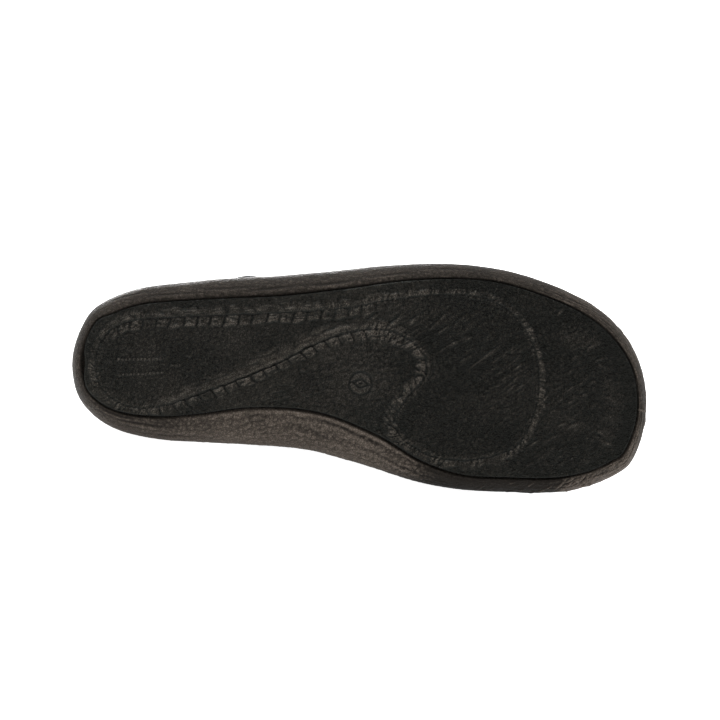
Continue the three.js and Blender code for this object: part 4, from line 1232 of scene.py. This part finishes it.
# Walking creases of the upper where the foot bends: from and to as seen from above, in
# shares of the length and of the ball's width, then height and width in millimetres.
flexRows = [
    (0.690, -0.48, 0.722, -0.20, -1.15, 3.0),
    (0.722, -0.24, 0.716, 0.04, -1.30, 3.2),
    (0.716, 0.00, 0.688, 0.24, -1.00, 2.8),
    (0.655, -0.50, 0.682, -0.26, -0.85, 2.6),
    (0.680, -0.30, 0.676, 0.02, -0.95, 3.0),
    (0.672, -0.02, 0.648, 0.22, -0.80, 2.6),
    (0.742, -0.44, 0.762, -0.24, -0.75, 2.4),
    (0.758, -0.22, 0.750, 0.00, -0.80, 2.6),
    (0.612, -0.46, 0.634, -0.28, -0.55, 2.4),
    (0.630, -0.06, 0.606, 0.16, -0.55, 2.4),
]


def upperSheet():
    last = outlineRows - upper["collarRow"]
    count = (last - upper["collarRow"]) * upper["perRow"] + 1
    line = OutlineLine(np.linspace(upper["collarRow"], last, count))
    rim = rimAt(line.place[:, 0]) + shoe["gap"]
    foot = line.inset(shoe["bowlWall"] + shoe["gap"], lambda x: floorAt(x) + shoe["gap"])
    base = line.inset(line.wallInset(rim) + shoe["gap"], lambda x: rimAt(x) + shoe["gap"])
    collarX = line.place[0, 0]
    share = (line.place[:, 0] - collarX) / (shoe["length"] - collarX)
    given = {name: column(upperTable, name, share)[:, None] for name in upperTable["columns"][1:]}
    ridge = np.stack([
        mix(upper["throatAt"], upper["ridgeEndAt"], share) * shoe["length"],
        given["ridge"][:, 0] * shoe["ballWidth"],
        mix(shoe["toeHeight"], shoe["instepHeight"], given["height"][:, 0]),
    ], -1)[:, None]
    turn = (np.arange(1, upper["domeSteps"] + 1) / upper["domeSteps"])[None] ** upper["domeSpacing"]
    turn = turn * math.pi / 2
    power = 2 / given["fullness"]
    up = np.sin(turn) ** power
    over = 1 - np.maximum(np.cos(turn), 0) ** power
    ahead = up + upper["collarBend"] * np.sin(2 * math.pi * up) / (2 * math.pi)
    start = base[:, None]
    advance = (ridge[..., 0] - start[..., 0]) * (ahead - over) * given["sweep"]
    middle = count // 2
    wanted = start[..., 0] + advance
    beside = np.vstack([
        np.interp(wanted[:middle], base[: middle + 1, 0], base[: middle + 1, 1]),
        np.interp(wanted[middle:], base[middle:, 0][::-1], base[middle:, 1][::-1]),
    ])
    dome = np.stack([
        mix(start[..., 0], ridge[..., 0], over) + advance,
        mix(mix(start[..., 1], beside, given["sweep"]), ridge[..., 1], over),
        mix(start[..., 2], ridge[..., 2], up),
    ], -1)
    inner = (np.arange(count) > middle)[:, None]
    swell = np.where(inner, upper["innerSwell"], upper["outerSwell"]) * given["swell"]
    swell = swell * np.sin(math.pi * np.clip(up, 0, 1) ** upper["swellSpacing"])
    ear = upper["cornerFlare"] * np.maximum(1 - share / upper["cornerReach"], 0)[:, None]
    swell += np.where(inner, 0, ear * np.sin(math.pi * np.minimum(up / upper["cornerRise"], 1)))
    swell[:, -1] = 0
    dome[..., :2] += line.out[:, None] * swell[..., None]
    steps = np.arange(upper["skirtSteps"] + 1) / upper["skirtSteps"]
    skirt = mix(foot[:, None], base[:, None], steps[None, :, None])
    climbed = np.hstack([np.zeros(skirt.shape[:2]), up])
    return line, np.concatenate([skirt, dome], 1), climbed


def addPouch(shell, grid):           # both sides share the points of the ridge
    body = shell.add(grid[:, :-1])
    top = shell.add(grid[: len(grid) // 2 + 1, -1])
    return np.column_stack([body, np.append(top, top[-2::-1])])


def seenFromAbove(at, inner):
    return pairs(at * shoe["length"], inner * shoe["ballWidth"])


def upperSheets():       # the outer and the inner face, a wall apart, and how far each place stands out
    line, grid, climbed = upperSheet()
    shell = Shell()
    numbers = addPouch(shell, grid)
    shell.weave(numbers)
    plan = np.column_stack([line.out, np.zeros(len(line.out))])[:, None]
    facing = shell.normals()[numbers]
    facing *= np.sign((facing * plan).sum())
    facing = unit(mix(plan, facing, np.clip(climbed / upper["uprightUpTo"], 0, 1)[..., None]))
    folds = rowStrokes(grid[..., :2].reshape(-1, 2), flexRows, seenFromAbove).reshape(climbed.shape)
    waves = upper["wave"] * lumps(grid, upper["waveSize"])
    waves = waves + upper["pucker"] * lumps(grid, upper["puckerSize"])
    fromCollar = np.minimum(np.arange(len(grid)), np.arange(len(grid))[::-1])[:, None]
    relief = (folds + waves) * smoothStep(climbed, *upper["reliefFrom"])
    relief *= smoothStep(fromCollar, *upper["collarPlain"])
    outer = grid + facing * relief[..., None]
    inner = grid - facing * (shoe["upperWall"] - upper["insideRelief"] * relief)[..., None]
    return outer, inner, raisedShare(relief, upper["wear"])


outerSheet, innerSheet, upperRaised = upperSheets()
lining = {
    "shader": {"Specular IOR Level": 0.2, "Sheen Weight": 0.15, "Sheen Roughness": 0.6},
    "dark": (0.030, 0.026, 0.023), "light": (0.050, 0.044, 0.038), "roughness": (0.85, 0.95),
    "nap": 4.0, "weave": {"Size": 0.7, "Unevenness": 2.5}, "bump": 0.25, "depth": 0.1,
}


def makeUpper():
    shell = Shell()
    outside = addPouch(shell, outerSheet)
    inside = addPouch(shell, innerSheet)
    shell.weave(outside)
    shell.weave(inside, slot=1)
    for edge in (np.s_[:, 0], 0, -1):
        shell.weave(np.array([outside[edge], inside[edge]]))
    materials = [leatherLike("upperLeather", upper["look"]), fibrous("liningCloth", lining)]
    raised = np.append(upperRaised[:, :-1].ravel(), upperRaised[: len(upperRaised) // 2 + 1, -1])
    shell.piece("upper_shell", "upper", materials, ["upper"], raised)


# The binding is a strip folded over the collar's edge. Its section runs along one leg, round the edge and
# along the other leg. A row of stitches follows each leg.
binding = {
    "wall": 1, "width": 7, "gap": 0.45, "legShares": (1.0, 0.96, 0.88, 0.78, 0.72, 0.6, 0.42, 0.24, 0.1),
    "endFold": 1.5, "endFoldReach": (4, 18), "edgeTurns": 9, "tipShare": 0.45, "columns": 24,
    "stitchAt": 0.75, "stitchPitch": 3.1, "stitchLength": 2.3, "stitchRadius": 0.3, "stitchSides": 8,
    "sink": 0.16, "sinkWidth": 0.6, "freeEnd": 2,
    "stitchFlat": 0.8, "stitchLevel": 0.2, "stitchDrop": 2.4, "stitchOut": 0.45, "aheadBy": 0.6,
    # along a stitch, as a share of its length, and how thick it is there
    "stitchSizes": ((-0.5, 0.25), (-0.42, 0.75), (-0.2, 1), (0.2, 1), (0.42, 0.75), (0.5, 0.25)),
    "look": {
        "shader": {"Specular IOR Level": 0.24, "Specular Tint": (1.0, 0.94, 0.88, 1)},
        "dark": (0.0060, 0.0050, 0.0043), "light": (0.0110, 0.0092, 0.0080), "dusty": (0.050, 0.042, 0.036),
        "dust": 0.18, "roughness": (0.48, 0.6), "grainSize": 0.8, "crease": 0.25, "patchSize": 16,
        "dustSize": 0.9, "bump": 0.55,
    },
    "thread": {
        "shader": {"Specular IOR Level": 0.4, "Sheen Weight": 0.2},
        "dark": (0.020, 0.017, 0.015), "light": (0.036, 0.031, 0.027), "roughness": (0.55, 0.75),
        "nap": 0.35, "bump": 0.5, "depth": 0.1,
    },
}


# For each place along the collar: lines into the two sheets, and the directions across the edge and off it.
def collarSections():
    first, count = upper["skirtSteps"], binding["columns"]

    def sideLines(sheet):
        outerSide = sheet[:count, first:].transpose(1, 0, 2)
        innerSide = sheet[-1 : -count - 1 : -1, first:-1].transpose(1, 0, 2)[::-1]
        return np.concatenate([outerSide, innerSide])

    outside, inside = sideLines(outerSheet), sideLines(innerSheet)
    climb = np.gradient(outside[:, 0], axis=0)
    across = unit(outside[:, 0] - inside[:, 0])
    return outside, inside, across, unit(np.cross(across, climb))


def pointsAlong(lines, distance):    # the point of each line that lies so far along it
    return np.array([
        [np.interp(distance, marks, values) for values in line.T]
        for marks, line in zip(map(walkedAlong, lines), lines)
    ])


def endFold(outside):    # the strip's end is folded under and thicker, at the collar's outer corner
    walked = walkedAlong(outside[:, 0])
    return binding["endFold"] * (1 - smoothStep(walked, *binding["endFoldReach"]))[:, None]


def legPoints(outside, inside, share, out):
    outer = pointsAlong(outside, binding["width"] * share)
    inner = pointsAlong(inside, binding["width"] * share)
    square = unit(outer - inner)
    return outer + square * out, inner - square * out, square


def bindingPath(outside, inside, across, away, out, top):        # the strip's top or its underside
    thicker = endFold(outside) if top else 0
    outerLeg, innerLeg = [], []
    for share in binding["legShares"]:
        fromStitch = (share - binding["stitchAt"]) * binding["width"]
        sunk = binding["sink"] * bell(fromStitch, binding["sinkWidth"]) if top else 0
        tip = binding["tipShare"] if top and share == 1 else 1
        outer, inner, square = legPoints(outside, inside, share, mix(binding["gap"], out - sunk, tip))
        outerLeg.append(outer + square * thicker)
        innerLeg.append(inner)
    middle = (outside[:, 0] + inside[:, 0]) / 2
    half = np.linalg.norm(outside[:, 0] - inside[:, 0], axis=-1)[:, None] / 2
    fold = [
        middle + across * (half + out + thicker * max(math.cos(angle), 0)) * math.cos(angle)
        + away * out * math.sin(angle)
        for angle in np.linspace(0, math.pi, binding["edgeTurns"])
    ]
    return np.stack([*outerLeg, *fold, *innerLeg[::-1]], 1)


def makeBinding():
    lines = collarSections()
    shell = Shell()
    top = shell.add(bindingPath(*lines, binding["gap"] + binding["wall"], True))
    bottom = shell.add(bindingPath(*lines, binding["gap"], False))
    shell.weave(np.hstack([top, bottom[:, ::-1]]), closed=True)
    for end in (0, -1):
        shell.weave(np.array([top[end], bottom[end]]))
    material = leatherLike("bindingLeather", binding["look"])
    shell.piece("binding_strip", "binding", [material], ["collar_binding"])


def addStitch(shell, middle, ahead, out):
    length, radius, sides = (binding[name] for name in ("stitchLength", "stitchRadius", "stitchSides"))
    turns = 2 * math.pi * np.arange(sides) / sides
    spoke = out * np.cos(turns)[:, None] * binding["stitchFlat"]
    spoke = spoke + np.cross(out, ahead) * np.sin(turns)[:, None]
    rings = []
    for share, size in binding["stitchSizes"]:
        drop = out * radius * binding["stitchDrop"] * max(abs(share) - binding["stitchLevel"], 0)
        rings.append(shell.add(middle + ahead * length * share - drop + spoke * radius * size))
    shell.weave(np.array(rings), closed=True)
    for ring in (rings[0], rings[-1]):
        for k in range(sides // 2 - 1):
            shell.quads(ring[[k, k + 1, sides - 2 - k, sides - 1 - k]])


def makeStitches():
    outside, inside, _, _ = collarSections()
    out = binding["gap"] + binding["wall"] - binding["sink"]
    out += binding["stitchRadius"] * binding["stitchOut"]
    outer, inner, square = legPoints(outside, inside, binding["stitchAt"], out)
    shell, step = Shell(), binding["aheadBy"]
    for path, facing in ((outer + square * endFold(outside), square), (inner, -square)):
        walked = walkedAlong(path)
        sewn = walked[-1] - 2 * binding["freeEnd"]
        count = int(sewn / binding["stitchPitch"])
        marks = binding["freeEnd"] + (np.arange(count) + 0.5) * sewn / count
        middles, before, after, outs = (
            pairs(*(np.interp(marks + shift, walked, values[:, k]) for k in range(3)))
            for shift, values in ((0, path), (-step, path), (step, path), (0, facing))
        )
        for stitch in zip(middles, unit(after - before), unit(outs)):
            addStitch(shell, *stitch)
    shell.piece("binding_stitches", "binding", [fibrous("waxedThread", binding["thread"])])


# The footbed: a loose foam insole with a brushed cover, cupped at the heel and raised under the arch.
footbed = {
    "heel": 6, "ball": 5, "heelCup": 4, "forefootCup": 1, "archSupport": 4,
    "behindRow": 14 / 3, "behindSoft": 0.33, "heelEnd": (0, 0.12), "plainEdge": (0, 0.1),
    "across": 72, "along": 230, "edgeRound": 0.9, "footRound": 0.4,
    "edgeSteps": ((0, 1), (0.05, 0.55), (0.3, 0.15)),        # in and down, in shares of the edge's round
    "dent": 0.2, "dentSize": 20, "fuzz": 0.05, "fuzzSize": 1.6,
    "look": {
        "shader": {"Specular IOR Level": 0.15, "Sheen Weight": 0.35, "Sheen Roughness": 0.55},
        "dark": (0.062, 0.052, 0.042), "light": (0.120, 0.102, 0.084), "roughness": (0.88, 0.98),
        "worn": (0.050, 0.042, 0.035), "wear": (-0.3, 0.9), "patchSize": 30.0,
        "nap": 1.5, "bump": 0.8, "depth": 0.4,
    },
}


def footbedTop(x, across):           # across goes from the outer side, 0, to the inner side, 1
    at = x / shoe["length"]
    heel = column(sideTable, "heel", at)
    cup = mix(footbed["forefootCup"], footbed["heelCup"], heel) * (2 * across - 1) ** 2
    arch = footbed["archSupport"] * np.maximum(column(sideTable, "arch", at), 0) * across**3
    return floorAt(x) + shoe["gap"] + mix(footbed["ball"], footbed["heel"], heel) + cup + arch


def makeFootbed():
    across, along = footbed["across"], footbed["along"]
    rows = ringRows(across, along)
    line = OutlineLine(rows)
    fromHeel = np.minimum(np.mod(rows, outlineRows), outlineRows - np.mod(rows, outlineRows))
    underUpper = smoothStep(fromHeel, footbed["behindRow"] - footbed["behindSoft"], footbed["behindRow"])
    beside = shoe["gap"] + underUpper * (shoe["upperWall"] + shoe["gap"])
    foot = line.wallInset(floorAt(line.place[:, 0])) + beside
    topZ = footbedTop(line.place[:, 0], np.where(line.outerSide, 0, 1))
    rise, low = footbed["edgeRound"], footbed["footRound"]
    rings = [
        line.inset(foot + low, lambda x: floorAt(x) + shoe["gap"]),
        line.inset(foot, lambda x: floorAt(x) + shoe["gap"] + low),
    ]
    for inset, down in footbed["edgeSteps"]:
        height = topZ - down * rise
        rings.append(line.inset(line.wallInset(height) + beside + inset * rise, height))
    edge = line.inset(line.wallInset(topZ) + beside + rise, 0)
    flat = ringPatch(edge, across, along)[..., :2]
    width = np.linalg.norm(flat[:, -1] - flat[:, 0], axis=-1)
    share = 1 - np.linalg.norm(flat - flat[:, :1], axis=-1) / width[:, None]
    ends = np.linspace(0, 1, along + 1)[:, None]
    heelEnd = (1 - smoothStep(ends, *footbed["heelEnd"])) * footbed["heelCup"] * (1 - (2 * share - 1) ** 2)
    relief = footbed["dent"] * lumps(flat, footbed["dentSize"])
    relief += footbed["fuzz"] * lumps(flat, footbed["fuzzSize"])
    relief *= smoothStep(np.minimum(share, 1 - share), *footbed["plainEdge"])
    shell = Shell()
    grid = shell.add(np.dstack([flat, footbedTop(flat[..., 0], share) + heelEnd + relief]))
    shell.weave(grid)
    sides = [shell.add(ring) for ring in rings]
    shell.weave(np.array([*sides, patchEdge(grid)]), closed=True)
    shell.close(sides[0], across // 2)
    material = fibrous("brushedCover", footbed["look"])
    piece = shell.piece("footbed_insole", "footbed", [material], ["footbed"])


makeTread()
makeBowl()
makeUpper()
makeBinding()
makeStitches()
makeFootbed()
print("pieces made")


# A pale floor under a soft surround, dim in front of the sole and bright beside it. Starting behind the
# upper it brightens, then dims: `brightBetween` and `dimBetween` are cosines of the angle to `facing`. The
# floor is white to the camera, and lights the slipper less than that.
studio = {
    "floorSize": 40, "floor": (0.90, 0.90, 0.90), "floorGlow": (0.35, 1.0), "surround": (1.0, 1.0, 1.0),
    "facing": (0.0, -0.985, 0.170), "front": 0.008, "beside": 1.1, "behind": 0.4,
    "brightBetween": (-1.0, 0.2), "dimBetween": (0.10, 0.93), "floorRoughness": 0.9, "aim": (0, 0, 0.05),
    "panels": [
        {"name": "above", "place": (-0.5, -0.25, 1.3), "size": (0.9, 0.5), "power": 10},
        {"name": "overUpper", "place": (-0.35, 1.2, 0.3), "size": (0.5, 0.3), "power": 5},
    ],
}


def makeSurround():
    world = bpy.data.worlds.new("surround")
    world.use_nodes = True
    tree = world.node_tree
    direction = addNode(tree, "ShaderNodeTexCoord").outputs["Generated"]
    towards = addNode(
        tree, "ShaderNodeVectorMath", {0: direction, 1: studio["facing"]}, operation="DOT_PRODUCT",
    ).outputs["Value"]
    start, end = studio["brightBetween"]
    around = mapRange(tree, towards, studio["behind"], studio["beside"], start, end)
    start, end = studio["dimBetween"]
    power = mapRange(tree, towards, around, studio["front"], start, end, kind="SMOOTHSTEP")
    back = tree.nodes["Background"]
    back.inputs["Color"].default_value = (*studio["surround"], 1)
    tree.links.new(power, back.inputs["Strength"])
    bpy.context.scene.world = world


def makeFloor():
    half = studio["floorSize"] / 2
    mesh = bpy.data.meshes.new("floor")
    corners = [(-half, -half, 0), (half, -half, 0), (half, half, 0), (-half, half, 0)]
    mesh.from_pydata(corners, [], [(0, 1, 2, 3)])
    material, tree, shader = newMaterial("paleFloor", {
        "Base Color": (*studio["floor"], 1), "Roughness": studio["floorRoughness"],
        "Emission Color": (1, 1, 1, 1),
    })
    seen = addNode(tree, "ShaderNodeLightPath").outputs["Is Camera Ray"]
    tree.links.new(mapRange(tree, seen, *studio["floorGlow"]), shader.inputs["Emission Strength"])
    mesh.materials.append(material)
    floor = bpy.data.objects.new("floor", mesh)
    bpy.context.scene.collection.objects.link(floor)


def makePanels():
    for panel in studio["panels"]:
        light = bpy.data.lights.new(panel["name"], "AREA")
        light.shape = "RECTANGLE"
        light.size, light.size_y = panel["size"]
        light.energy = panel["power"]
        lamp = bpy.data.objects.new(panel["name"], light)
        lamp.location = panel["place"]
        turned = (Vector(studio["aim"]) - lamp.location).to_track_quat("-Z", "Y")
        lamp.rotation_euler = turned.to_euler()
        bpy.context.scene.collection.objects.link(lamp)


makeFloor()
makeSurround()
makePanels()
bpy.context.scene.view_settings.view_transform = "Standard"
print("studio set")
